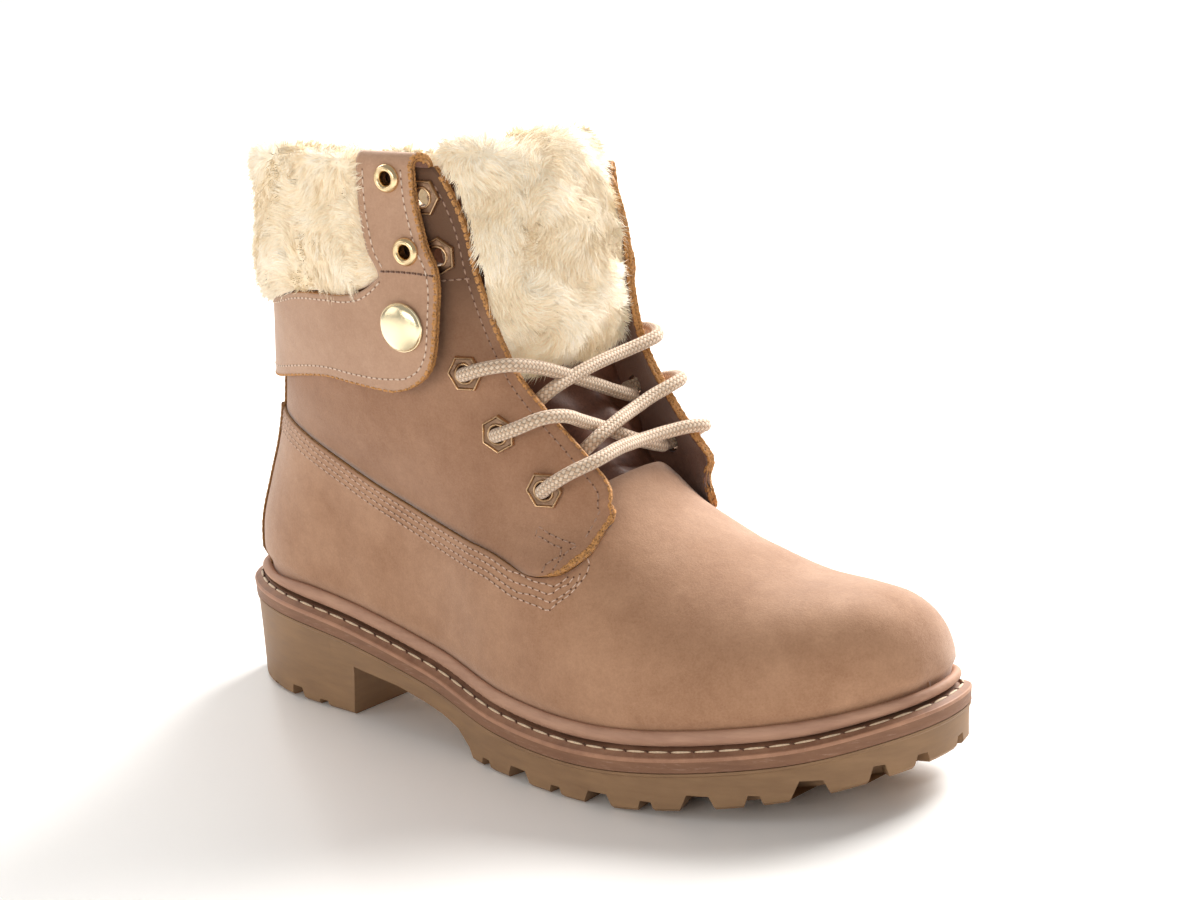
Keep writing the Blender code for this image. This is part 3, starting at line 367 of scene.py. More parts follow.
def shaft_outer(x, z):
    return SHAFT_WALL + (FLAP_LAP - SHAFT_WALL) * flap_share(x, z)


def wall(x, z, side, half=upper_half, lift=0.0):
    """Places at a height over a form, with its outward normals; x and z as on the lateral side."""
    step = 0.3
    x, z = np.broadcast_arrays(np.asarray(x, float), np.asarray(z, float))

    def at(px, pz):
        if half is upper_half:
            px, pz = settle(px, pz, side)
        return on_form(px, pz, side, half)

    ahead = at(x + step, z) - at(x - step, z)
    up = at(x, z + step) - at(x, z - step)
    normal = unit(np.cross(up, ahead) * side)
    return at(x, z) + normal * np.asarray(lift, float)[..., None], normal


def both_sides(point, turns, rows):
    """Grid over both sides: from the lateral front round the back to the medial front."""
    u, v = np.broadcast_arrays(turns, rows)
    return np.concatenate((point(u, v, LATERAL)[:, ::-1], point(u, v, MEDIAL)[:, 1:]), axis=1)


def mirrored(turns):
    """Turns of the columns that both_sides makes."""
    return np.concatenate((turns[::-1], turns[1:]))


def grid_normals(points):
    """Unit normals of a grid whose columns run from the lateral front round the back."""
    normal = np.cross(np.gradient(points, axis=0), np.gradient(points, axis=1))
    size = np.linalg.norm(normal, axis=-1, keepdims=True)
    return normal / np.maximum(size, 1e-9)


# ---- making pieces

def adjust(item, **settings):
    for key, value in settings.items():
        setattr(item, key, value)
    return item


def put(name, data):
    """Link an object to the scene, at the origin."""
    item = bpy.data.objects.new(name, data)
    bpy.context.scene.collection.objects.link(item)
    return item


def mesh_of(name, bm):
    mesh = bpy.data.meshes.new(name)
    bm.to_mesh(mesh)
    bm.free()
    return mesh


def in_metres(bm):
    bmesh.ops.scale(bm, vec=(MM, MM, MM), verts=bm.verts)
    return bm


def turn_out(bm):
    """Turn every face of a closed shape outwards."""
    bmesh.ops.recalc_face_normals(bm, faces=bm.faces)


def close_ends(bm):
    """Fill the open ends of a shape."""
    bmesh.ops.holes_fill(bm, edges=[edge for edge in bm.edges if edge.is_boundary], sides=0)
    turn_out(bm)


def hoop_grid(hoops):
    """Grid from closed hoops: each ends where it starts."""
    return np.array([np.concatenate((loop, loop[:1])) for loop in hoops])


def skin(points, keep=None, wrap=None, kinds=None):
    """Surface over a grid of places.

    keep marks the cells that stay, kinds gives the cells their materials, and wrap gives each
    place a pair of values to carry to the finish.
    """
    rows, columns = points.shape[:2]
    bm = bmesh.new()
    bmesh.ops.create_grid(bm, x_segments=columns - 1, y_segments=rows - 1, size=1)
    for vert, place in zip(bm.verts, points.reshape(-1, 3)):
        vert.co = place
    if wrap is not None:
        bm.verts.index_update()
        layer = bm.loops.layers.uv.new("UVMap")
        pairs = wrap.reshape(-1, 2)
        for face in bm.faces:
            for loop in face.loops:
                loop[layer].uv = pairs[loop.vert.index]
    if kinds is not None:
        for face, kind in zip(bm.faces, kinds.reshape(-1)):
            face.material_index = int(kind)
    if keep is not None:
        gone = [face for face, stays in zip(bm.faces, keep.reshape(-1)) if not stays]
        bmesh.ops.delete(bm, geom=gone, context="FACES")
    bmesh.ops.reverse_faces(bm, faces=bm.faces)
    bmesh.ops.remove_doubles(bm, verts=bm.verts, dist=0.002)
    return bm


def hooped(hoops):
    """Surface through closed hoops of places; the first and last are filled across."""
    ends = [0.5 * (loop + np.roll(loop[::-1], 1, axis=0)) for loop in (hoops[0], hoops[-1])]
    bm = skin(hoop_grid([ends[0], *hoops, ends[1]]))
    bmesh.ops.dissolve_degenerate(bm, dist=0.001, edges=bm.edges)
    turn_out(bm)
    return bm


def finish_piece(name, bm, materials, stands_for=(), smooth=40):
    """Turn a bmesh in millimetres into a finished piece of the boot."""
    return dress(name, mesh_of(name, in_metres(bm)), materials, stands_for, smooth)


def dress(name, mesh, materials, stands_for, smooth):
    """Give a mesh its materials, its body and the nodes that it stands for."""
    for material in materials:
        mesh.materials.append(material)
    if smooth:
        mesh.shade_smooth()
        mesh.set_sharp_from_angle(angle=math.radians(smooth))
    piece = put(name, mesh)
    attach(piece, "root")
    if stands_for:
        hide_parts(*stands_for)
    return piece


def thicken(piece, thickness, inside=0):
    """Give a sheet its thickness; the cut edge and the inner side have their own materials."""
    adjust(piece.modifiers.new("Thickness", "SOLIDIFY"), thickness=thickness * MM, offset=-1,
           use_quality_normals=True, material_offset_rim=1, material_offset=inside)


def cut(piece, cutters):
    """Take the cutters out of a piece for good, with its other modifiers."""
    for cutter in cutters:
        adjust(piece.modifiers.new("Cut", "BOOLEAN"), operation="DIFFERENCE", solver="EXACT", object=cutter)
    made = bpy.data.meshes.new_from_object(piece.evaluated_get(bpy.context.evaluated_depsgraph_get()))
    piece.modifiers.clear()
    piece.data = made
    for cutter in cutters:
        bpy.data.objects.remove(cutter)


def cutter_of(bm):
    """Loose closed shape that a piece is cut with."""
    turn_out(bm)
    return put("cutter", mesh_of("cutter", in_metres(bm)))


def copies(name, pattern, frames, places, materials):
    """Many copies of one small shape, joined: frames holds each copy's three axes as columns."""
    verts = np.array([vert.co for vert in pattern.verts])
    faces = [[vert.index for vert in face.verts] for face in pattern.faces]
    kinds = [face.material_index for face in pattern.faces]
    pattern.free()
    moved = np.einsum("nij,vj->nvi", frames, verts) + places[:, None]
    mesh = bpy.data.meshes.new(name)
    joined = [[i + len(verts) * n for i in face] for n in range(len(places)) for face in faces]
    mesh.from_pydata((moved.reshape(-1, 3) * MM).tolist(), [], joined)
    mesh.polygons.foreach_set("material_index", np.tile(kinds, len(places)))
    dress(name, mesh, materials, (), 60)


def stitch_pattern(long, wide, high, holes):
    """One stitch lying along X, with the needle hole that it goes down into."""
    bm = bmesh.new()
    bmesh.ops.create_uvsphere(bm, u_segments=8, v_segments=5, radius=0.5)
    turn = Matrix.Rotation(math.pi / 2, 3, "Y")
    for vert in bm.verts:
        vert.co = turn @ vert.co
    bmesh.ops.scale(bm, vec=(long, wide, high), verts=bm.verts)
    if holes:
        hole = bmesh.ops.create_circle(bm, cap_ends=True, segments=6, radius=wide * 0.62)["verts"]
        bmesh.ops.translate(bm, verts=hole, vec=(long * 0.62, 0, 0.03))
        for face in {face for vert in hole for face in vert.link_faces}:
            face.material_index = 1
    bm.verts.index_update()
    return bm


def along_path(points, normals, pitch):
    """Axes and places of even copies along a line on a surface."""
    run = length_along(points)
    count = max(1, int(round(run[-1] / pitch)))
    at = (np.arange(count) + 0.5) * run[-1] / count
    ahead = unit(read_off(points, run, at + 0.2) - read_off(points, run, at - 0.2))
    across = unit(np.cross(read_off(normals, run, at), ahead))
    return np.stack((ahead, across, np.cross(ahead, across)), axis=-1), read_off(points, run, at)


def stitches(name, lines, pitch, wide, materials, fill=0.72, high=0.45, holes=True):
    """Rows of stitches along lines of (places, normals)."""
    frames, places = (np.concatenate(part) for part in
                      zip(*(along_path(points, normals, pitch) for points, normals in lines)))
    copies(name, stitch_pattern(pitch * fill, wide, high, holes), frames, places, materials)


# ---- shader sums

class Value:
    """A shader socket that takes part in sums; each sum adds a Math node."""

    def __init__(self, finish, socket):
        self.finish = finish
        self.socket = socket

    def sum(self, operation, *others, swap=False):
        parts = [self, *others]
        if swap:
            parts.reverse()
        return self.finish.add("ShaderNodeMath", dict(enumerate(parts)), operation=operation)

    def __add__(self, other):
        return self.sum("ADD", other)

    __radd__ = __add__

    def __sub__(self, other):
        return self.sum("SUBTRACT", other)

    def __rsub__(self, other):
        return self.sum("SUBTRACT", other, swap=True)

    def __mul__(self, other):
        return self.sum("MULTIPLY", other)

    __rmul__ = __mul__

    def __pow__(self, other):
        return self.sum("POWER", other)

    def whole(self):
        return self.sum("FLOOR")

    def part(self):
        return self.sum("FRACT")

    def sine(self):
        return self.sum("SINE")


class Finish:
    """A material, built round its Principled shader."""

    def __init__(self, name, **uniform):
        self.material = bpy.data.materials.new(name)
        self.material.use_nodes = True
        self.tree = self.material.node_tree
        self.shader = self.tree.nodes["Principled BSDF"]
        self.set(**uniform)

    def add(self, kind, inputs=None, output=0, stops=None, **settings):
        """Add a node: its settings first, then the values or links of its sockets."""
        node = adjust(self.tree.nodes.new(kind), **settings)
        if stops:
            ramp = node.color_ramp
            while len(ramp.elements) < len(stops):
                ramp.elements.new(1.0)
            for element, (place, colour) in zip(ramp.elements, stops):
                element.position = place
                element.color = (*colour, 1.0)
        for key, value in (inputs or {}).items():
            self.feed(node.inputs[key], value)
        return Value(self, node.outputs[output])

    def feed(self, socket, value):
        if isinstance(value, Value):
            self.tree.links.new(value.socket, socket)
        elif isinstance(value, tuple) and len(value) == 3 and socket.type == "RGBA":
            socket.default_value = (*value, 1.0)
        else:
            socket.default_value = value

    def place(self):
        return self.add("ShaderNodeTexCoord", output="Object")

    def axis(self, vector, number):
        return self.add("ShaderNodeSeparateXYZ", {"Vector": vector}, number)

    def stretched(self, scale):
        return self.add("ShaderNodeMapping", {"Vector": self.place(), "Scale": scale})

    def noise(self, where, size, detail=2.0, rough=0.5, warp=0.0):
        """Noise whose features are about size millimetres across."""
        return self.add("ShaderNodeTexNoise", {"Vector": where, "Scale": 1 / (size * MM), "Detail": detail,
                                               "Roughness": rough, "Distortion": warp})

    def cells(self, where, size):
        return self.add("ShaderNodeTexVoronoi", {"Vector": where, "Scale": 1 / (size * MM)}, "Distance")

    def ramp(self, value, *stops):
        return self.add("ShaderNodeValToRGB", {"Fac": value}, stops=stops)

    def range(self, value, low, high, start=0.0, end=1.0):
        return self.add("ShaderNodeMapRange", {"Value": value, "From Min": low, "From Max": high,
                                               "To Min": start, "To Max": end})

    def mix(self, share, first, second):
        return self.add("ShaderNodeMix", {0: share, 6: first, 7: second}, 2, data_type="RGBA")

    def relief(self, height, depth, strength=1.0):
        """Raise the surface by depth millimetres where height is 1."""
        bump = self.add("ShaderNodeBump", {"Height": height, "Distance": depth * MM, "Strength": strength})
        self.set(Normal=bump)

    def set(self, **links):
        for socket, value in links.items():
            self.feed(self.shader.inputs[socket.replace("_", " ")], value)


# ---- finishes

def toned(colour, share):
    return tuple(c * share for c in colour)


CUFF_SHADE = (0.128, 0.158)    # heights in metres between which the cuff shades the shaft


def nubuck(name, light, dark, gloss=0.0, shaded=False):
    """Brushed leather: soft clouds, fine nap and a faint grain."""
    f = Finish(name, Sheen_Weight=0.35 - gloss, Sheen_Roughness=0.45, Specular_IOR_Level=0.28)
    spot = f.place()
    cloud = f.range(f.noise(spot, 24, 2, 0.45, 0.4), 0.36, 0.66)
    patch = f.range(f.noise(spot, 9, 3, 0.55), 0.35, 0.7)
    nap = f.noise(spot, 0.75, 3, 0.7)
    speck = f.noise(f.stretched((1, 1, 1.7)), 0.35, 2, 0.8)
    mottle = f.range(f.noise(spot, 3.8, 4, 0.68), 0.34, 0.68)
    tone = cloud * 0.4 + patch * 0.22 + mottle * 0.32 + nap * 1.2 - 0.54
    base = f.mix(tone, dark, light)
    rosy = (dark[0] * 0.98, dark[1] * 0.9, dark[2] * 0.9)
    base = f.mix(f.range(speck, 0.6, 0.78, 0, 0.6), base, rosy)
    if shaded:
        # painted shadow that the cuff casts on the shaft, darker higher up under the cuff
        under = f.range(f.axis(spot, 2), *CUFF_SHADE, 0, 0.9)
        base = f.mix(under, base, toned(dark, 0.42))
    f.set(Base_Color=base, Roughness=0.9 - gloss - cloud * 0.14)
    grain = nap * 0.6 + speck * 0.4 + f.noise(spot, 5, 2) * 0.8
    f.relief(grain, 0.3, 0.6)
    return f.material


def raw_edge(name, bright, deep):
    """Cut edge of split leather: burnt orange fibres with dark pits."""
    f = Finish(name, Roughness=0.7)
    spot = f.place()
    pits = f.cells(spot, 0.75)
    fibre = f.noise(spot, 0.7, 3, 0.7)
    shade = f.range(pits * 0.8 + fibre * 0.6, 0.3, 0.85)
    f.set(Base_Color=f.ramp(shade, (0.0, deep), (0.5, bright), (1.0, toned(bright, 1.25))))
    f.relief(shade, 0.3)
    return f.material


def thread(name, colour, twist=0.5):
    """Spun sewing thread."""
    f = Finish(name, Roughness=0.75, Sheen_Weight=0.2)
    spot = f.place()
    ply = f.noise(spot, twist, 2, 0.6)
    f.set(Base_Color=f.mix(f.range(ply, 0.35, 0.65), toned(colour, 0.72), colour))
    f.relief(ply, 0.1)
    return f.material


def pit(name, colour):
    """Needle hole and other small shadows."""
    f = Finish(name, Roughness=0.95)
    f.set(Base_Color=f.mix(f.noise(f.place(), 0.8), colour, toned(colour, 0.6)))
    return f.material


def moulded(name, light, dark, streak, matt, worn=0.0, worn_colour=None):
    """Moulded rubber with faint flow marks and a fine matt skin."""
    f = Finish(name, Specular_IOR_Level=0.35)
    flow = f.noise(f.stretched(streak), 5, 3, 0.6)
    skin_grain = f.noise(f.place(), 0.5, 2, 0.6)
    cloud = f.noise(f.place(), 18, 2)
    shade = f.range(flow * 0.6 + cloud * 0.4, 0.36, 0.64)
    base = f.mix(shade, dark, light)
    if worn:
        rub = f.range(f.noise(f.stretched(streak), 1.6, 4, 0.7), 0.56, 0.78, 0, worn)
        base = f.mix(rub, base, worn_colour)
    f.set(Base_Color=base, Roughness=matt + shade * 0.12)
    f.relief(skin_grain * 0.6 + flow * 0.6, 0.12, 0.6)
    return f.material


def pile(name, light, mid, deep):
    """Cream pile: each lock has its own tone, with painted shade at the root and in the hollows, and a
    faint painted glow.
    """
    f = Finish(name, Roughness=0.85, Sheen_Weight=0.4, Specular_IOR_Level=0.2)
    tone = f.add("ShaderNodeAttribute", output="Fac", attribute_name="tone")
    cloud = f.range(f.noise(f.place(), 11, 3, 0.6), 0.36, 0.66)
    shade = tone * 0.82 + cloud * 0.18
    base = f.ramp(shade, (0.1, deep), (0.5, mid), (0.85, light))
    # painted light: the pile glows faintly in its own colour, lifting its shade
    f.set(Base_Color=base, Emission_Color=base, Emission_Strength=0.13)
    f.relief(f.noise(f.place(), 0.6, 2), 0.2)
    return f.material


BRAID_STRANDS = 8
BRAID_CROSSINGS = 0.64     # per millimetre of lace


def braid(name, cream, tan):
    """Round braid: cream yarns wind one way, tan yarns the other, and pass over and under, with painted
    shade in the grooves between them.
    """
    f = Finish(name, Roughness=0.8, Sheen_Weight=0.25)
    wrap = f.add("ShaderNodeTexCoord", output="UV")
    turn, run = f.axis(wrap, 0) * BRAID_STRANDS, f.axis(wrap, 1) * BRAID_CROSSINGS
    one, other = turn + run, turn - run + 400.0
    over = f.add("ShaderNodeMath", {0: one.whole() + other.whole(), 1: 2.0}, operation="MODULO")
    across = over * one.part() + (1.0 - over) * other.part()
    lengthwise = over * other.part() + (1.0 - over) * one.part()
    height = (across * math.pi).sine() ** 0.8 * (0.72 + 0.28 * (lengthwise * math.pi).sine())
    fibre = f.noise(f.place(), 0.3, 2, 0.7)
    base = f.mix(over, tan, cream)
    base = f.mix(f.range(fibre, 0.35, 0.7, 0, 0.25), base, toned(tan, 0.8))
    # painted shade: darker where the yarns dip, between the strands
    base = f.mix(f.range(height, 0.1, 0.6, 0.9, 0.0), base, toned(tan, 0.42))
    f.set(Base_Color=base)
    f.relief(height + fibre * 0.2, 0.28)
    return f.material


def brass(name, bright, tarnish, rough, aged):
    """Plated brass, darker where it has dulled."""
    f = Finish(name, Metallic=1.0)
    cloud = f.noise(f.place(), 2.2, 3, 0.6)
    brush = f.noise(f.stretched((1, 1, 12)), 1.2, 2, 0.6)
    dull = f.range(cloud * 0.7 + brush * 0.3, 0.35, 0.7, 0, aged)
    f.set(Base_Color=f.mix(dull, bright, tarnish), Roughness=rough + dull * 0.25)
    f.relief(brush, 0.02)
    return f.material


def woven(name, light, dark, size=0.9):
    """Brushed lining textile."""
    f = Finish(name, Roughness=0.95, Sheen_Weight=0.3)
    spot = f.place()
    weave = f.cells(spot, size)
    fluff = f.noise(spot, 2.5, 3, 0.6)
    f.set(Base_Color=f.mix(f.range(weave * 0.5 + fluff * 0.8, 0.3, 0.9), dark, light))
    f.relief(weave + fluff, 0.3)
    return f.material


LEATHER = nubuck("nubuck", (0.475, 0.270, 0.160), (0.338, 0.176, 0.098))
# lighter copy of the vamp's nubuck: painted light on the cuff band
CUFF_NUBUCK_LIT = nubuck("cuff_nubuck", (0.53, 0.33, 0.22), (0.41, 0.24, 0.153))
# darker copy of the vamp's nubuck: painted shade on the shaft and flaps, with the cuff's painted shadow on
# top
SHAFT_NUBUCK_SHADED = nubuck("shaft_nubuck", (0.398, 0.221, 0.131), (0.283, 0.144, 0.081), shaded=True)
# very dark copy of the nubuck: painted shade of the tongue down behind the laces and the fur
TONGUE_NUBUCK_SHADED = nubuck("tongue_leather", (0.20, 0.082, 0.048), (0.085, 0.034, 0.02), 0.35)
DARK_LEATHER = nubuck("facing_leather", (0.27, 0.135, 0.092), (0.16, 0.075, 0.05))
EDGE = raw_edge("raw_edge", (0.46, 0.22, 0.07), (0.12, 0.048, 0.012))
DARK_EDGE = raw_edge("waxed_edge", (0.26, 0.13, 0.045), (0.07, 0.03, 0.01))
THREAD = thread("sewing_thread", (0.72, 0.51, 0.39))
PALE_THREAD = thread("pale_thread", (0.84, 0.66, 0.52))
MUTED_THREAD = thread("muted_thread", (0.40, 0.245, 0.17))
DARK_THREAD = thread("dark_thread", (0.16, 0.085, 0.055))
WELT_THREAD = thread("welt_thread", (0.78, 0.60, 0.41), 0.9)
HOLE = pit("needle_hole", (0.13, 0.062, 0.038))
SOFT_HOLE = pit("small_hole", (0.26, 0.14, 0.09))
BAND_RUBBER = moulded("midsole_band", (0.262, 0.134, 0.077), (0.198, 0.095, 0.053), (0.3, 0.3, 2),
                      0.6, 0.55, (0.43, 0.27, 0.195))
TRIM_RUBBER = moulded("midsole_edge", (0.44, 0.23, 0.14), (0.33, 0.165, 0.098), (1, 1, 1), 0.5, 0.4,
                      (0.56, 0.34, 0.23))
# lighter than the band's rubber: painted light against the rand's shade on the ledge
LEDGE_RUBBER_LIT = moulded("midsole_ledge", (0.32, 0.168, 0.10), (0.22, 0.107, 0.062), (1, 1, 1), 0.6, 0.5,
                       (0.36, 0.215, 0.15))
RAND_RUBBER = moulded("rand_rubber", (0.50, 0.295, 0.20), (0.38, 0.21, 0.14), (0.4, 0.4, 3), 0.62, 0.4,
                      (0.52, 0.33, 0.24))
TREAD_RUBBER = moulded("outsole_rubber", (0.292, 0.172, 0.089), (0.226, 0.129, 0.066),
                       (0.3, 0.3, 1.5), 0.55)
# the last colour is mostly painted shade, for the roots and the hollows of the pile
FUR = pile("cream_pile", (1.0, 0.93, 0.80), (0.93, 0.80, 0.59), (0.69, 0.54, 0.345))
CORD = braid("braided_cord", (0.84, 0.67, 0.51), (0.62, 0.43, 0.29))
OLD_BRASS = brass("antique_brass", (0.66, 0.45, 0.26), (0.34, 0.20, 0.11), 0.24, 0.5)
PLATE_BRASS = brass("dulled_brass", (0.27, 0.17, 0.11), (0.14, 0.085, 0.055), 0.34, 0.6)
BRIGHT_BRASS = brass("bright_brass", (0.88, 0.68, 0.40), (0.60, 0.40, 0.20), 0.15, 0.35)
GOLD = brass("polished_gold", (0.97, 0.84, 0.56), (0.88, 0.70, 0.42), 0.12, 0.12)
LINING = woven("lining_textile", (0.34, 0.20, 0.14), (0.20, 0.11, 0.075))
INSOLE = woven("insole_textile", (0.62, 0.50, 0.38), (0.48, 0.36, 0.26), 1.4)


# ---- upper

LOWER_WALL = 1.3
LEATHER_WALL = 1.3
LINING_WALL = 1.1
TONGUE_WALL = 1.8
EDGE_GAP = 0.15            # between a leather and the one glued behind it


def tucked(height):
    """How far the lower panel draws in, at a height over its feather edge."""
    return TUCK * (1 - soft_step((height - 3) / 6))


def make_lower_panel():
    """Vamp and quarters: one panel from the falling seam down into the sole."""
    throat = 1 - (1 - CORNER_TURN) * (1 - np.linspace(0, 1, 17)[1:]) ** 2.3
    turns = np.concatenate((np.linspace(0, SEAM_TURN, 64), np.linspace(SEAM_TURN, CORNER_TURN, 10)[1:],
                            throat))
    lead = np.array([0, 2.5, 5, 6.5, 8, 9.5, 11, 13])
    fine = np.linspace(0, 0.6, 161)
    columns = []
    for turn in turns:
        flat = fill_between(np.full_like(fine, turn), fine, *LOWER_EDGES)
        first = np.interp(lead, flat[:, 1] - feather_z(flat[:, 0]), fine)
        rest = np.linspace(0, 1, 34) ** (1 + 0.5 * turn ** 4)
        columns.append(np.concatenate((first[:-1], first[-1] + (1 - first[-1]) * rest)))
    rows = np.array(columns).T
    base = both_sides(lower_point, turns, rows)
    ring = np.concatenate((base[:, -2:-1], base, base[:, 1:2]), axis=1)
    normal = grid_normals(ring)[:, 1:-1]
    tuck = np.zeros(len(base))
    tuck[:len(lead)] = tucked(lead)
    lift = LOWER_LAP - tuck[:, None, None] + creases(base)[..., None]
    panel = finish_piece("vamp_and_quarters", skin(base + normal * lift), [LEATHER, DARK_EDGE, LINING],
                         ["upper"])
    thicken(panel, LOWER_WALL, inside=2)


CREASES = table(
    "x y z long wide depth lean", (172, -14, 64, 34, 5, -0.55, 0.25),
    (181, -22, 60, 30, 5.5, -0.4, 0.35), (166, 16, 66, 30, 5, -0.45, -0.2),
    (118, -44, 46, 40, 9, -0.35, 0.5), (60, -35, 62, 34, 9, -0.4, -0.4),
    (20, -30, 70, 30, 8, 0.35, 0.6), (208, -30, 46, 34, 8, 0.3, 0.3),
    (150, -40, 44, 30, 8, 0.3, -0.5))


def creases(points):
    """Soft troughs and ridges where the foot bends the vamp and the quarters hang."""
    lift = np.zeros(points.shape[:-1])
    for x, y, z, long, wide, depth, lean in zip(*CREASES.values()):
        dx, dy, dz = points[..., 0] - x, points[..., 1] - y, points[..., 2] - z
        across = dx * math.cos(lean) + dz * math.sin(lean)
        length = np.hypot(dz * math.cos(lean) - dx * math.sin(lean), dy)
        lift += depth * np.exp(-(across / wide) ** 2 - (length / (0.5 * long)) ** 2)
    return lift


def shaft_grid():
    """Outer face of the shaft and its flaps, with smoothed normals."""
    turns = np.concatenate((np.linspace(0, SEAM_TURN, 72),
                            np.linspace(SEAM_TURN, CORNER_TURN, 9)[1:])) / CORNER_TURN
    base = both_sides(shaft_point, turns, np.linspace(0, 1, 44)[:, None])
    normal = grid_normals(base)
    for _ in range(10):
        wide = np.pad(normal, ((1, 1), (1, 1), (0, 0)), mode="edge")
        normal = (wide[:-2, 1:-1] + wide[2:, 1:-1] + wide[1:-1, :-2] + wide[1:-1, 2:] + 4 * normal) / 8
    normal = unit(normal)
    lift = shaft_outer(base[..., :1], base[..., 2:]) + 0.8 * creases(base)[..., None]
    return base + normal * lift, normal


def make_shaft():
    """Shaft with its front flaps, and the facing inside it."""
    outer, normal = shaft_grid()
    shaft = finish_piece("shaft_and_flaps", skin(outer), [SHAFT_NUBUCK_SHADED, EDGE, LINING],
                         ["upper"])
    thicken(shaft, LEATHER_WALL, inside=2)
    facing = finish_piece("shaft_facing", skin(outer - normal * (LEATHER_WALL + EDGE_GAP)),
                          [DARK_LEATHER, EDGE], ["upper"])
    thicken(facing, LINING_WALL)
    for piece in (shaft, facing):
        cut(piece, [eyelet_holes(EYELETS, EYELET_HOLE, eyelet_lift)])


BACK_EDGE = table(
    "z x", (27.5, -13.2), (31.5, -15.6), (37, -17), (44, -17.3), (51, -17.5), (57, -16.9),
    (62, -15.4), (70, -11.8), (78, -8), (86, -3.7), (93, 0.2), (98.5, 3))
SHAFT_BACK_EDGE = table("z x", (99, 2.6), (104, 4.2), (110, 6), (120, 8.3), (130, 10.1))


def make_back_seam():
    """Waxed raw edges of the quarters and the shaft, where they lap over the back stay."""
    for side, word in SIDES.items():
        for name, rows, half, lap, wide in (("quarter", BACK_EDGE, lower_half, LOWER_LAP, 2.2),
                                            ("back", SHAFT_BACK_EDGE, upper_half, SHAFT_WALL, 1.2)):
            z = np.linspace(rows["z"][0], rows["z"][-1], 120)
            x = along(rows, "x", z)
            tuck = tucked(z - feather_z(x)) * (half is lower_half)
            places, normals = wall(x, z, side, half, lap + 0.7 - tuck)
            edge_bar(f"{name}_edge_{word}", places, normals, side, wide, 1.6, proud=0.0,
                     material=DARK_EDGE)


# ---- cuff

CUFF_FRONT = table(
    "z x", (119.6, 79), (121.2, 85.5), (123.6, 90), (127.5, 93.8), (132, 95.6), (138, 96.6),
    (146, 97.4), (153, 98), (160, 97), (165, 94.7), (171, 93), (178, 91.3), (192, 90.2))
CUFF_STRIP = table(
    "z x", (110, 72), (135, 78), (152, 78.5), (158, 77), (163, 73.6), (169, 71.8), (180, 70.3),
    (192, 70.6))
CUFF_BOTTOM = table(
    "x z", (-6, 109), (11, 112), (27, 116), (48, 119.6), (62, 119.8), (80, 119.8), (98, 119.8))
CUFF_BAND = table(
    "x z", (-6, 136), (12, 138), (35, 145), (52, 147.3), (63, 148.4), (70, 150.6), (75, 153.6),
    (79, 156.8), (98, 157.4))


CUFF_REACH, CUFF_FOOT_Z, CUFF_STEP_Z = 80.0, 115, 37.0     # first guess of a place on the cuff


def cuff_lift(x, z):
    """Height of the cuff's face over the shaft, greatest low down in front."""
    return 3.3 + (1.2 + 3.3 * (1 - soft_step((z - 128) / 56))) * soft_step((x - 25) / 65)


def cuff_place(turn, row):
    """x and z where a column (0 back, 1 strip, 2 front) meets a row (0 bottom, 1 band, 2 fold)."""
    turn, row = np.broadcast_arrays(np.asarray(turn, float), np.asarray(row, float))
    x, z = CUFF_REACH * turn / 2, CUFF_FOOT_Z + CUFF_STEP_Z * row
    for _ in range(30):
        back, strip = along(SHAFT, "back", z), along(CUFF_STRIP, "x", z)
        front = along(CUFF_FRONT, "x", z)
        x = np.where(turn <= 1, back + (strip - back) * bunch(np.minimum(turn, 1)),
                     strip + (front - strip) * (turn - 1))
        band = along(CUFF_BAND, "z", x)
        low = along(CUFF_BOTTOM, "z", x)
        z = np.where(row <= 1, low + (band - low) * row, band + (collar_z(x) - band) * (row - 1))
    return x, z


def cuff_point(turn, row, side):
    x, z = settle(*cuff_place(turn, row), side)
    return on_form(x, z, side, upper_half)


FOLD_TURNS = np.linspace(0, math.pi, 17)[1:]
FOLD_RISE = 4.4
FOLD_SHIFT = 4.8
CUFF_WALL = 1.35
BACKING_WALL = 1.3
STRIP_CELLS = 21


def cuff_face(turn, row, side):
    """Place and normal on the shaft under the cuff, with the height of the cuff's face over it."""
    x, z = cuff_place(turn, row)
    place, normal = wall(x, z, side)
    drape = 0.5 * np.sin(x / 13.0 + 1.0) * (1 - soft_step((z - 112) / 40))
    return np.concatenate((place, normal, (cuff_lift(x, z) + drape)[..., None]), axis=-1)


def folded(rows, turns, inset):
    """Sheet over the cuff's face, inset from it, with its fold over the shaft's top; and its normals."""
    face = both_sides(cuff_face, turns, rows)
    base, normal, lift = face[..., :3], face[..., 3:6], face[..., 6:]
    sheet, outwards = [base + normal * (lift - inset)], [normal]
    inner = -(LEATHER_WALL + LINING_WALL)
    middle, reach = (lift[-1] + inner) / 2, (lift[-1] - inner) / 2 - inset
    for angle in FOLD_TURNS:
        arc = base[-1] + normal[-1] * (middle + reach * math.cos(angle))
        arc[:, 2] += (FOLD_RISE - inset) * math.sin(angle)
        arc[:, 0] += FOLD_SHIFT * (1 - math.cos(angle)) / 2 * np.clip(mirrored(turns) - 1, 0, 1)
        sheet.append(arc[None])
        outwards.append((normal[-1] * math.cos(angle) + np.array([0, 0, math.sin(angle)]))[None])
    return np.concatenate(sheet), np.concatenate(outwards)


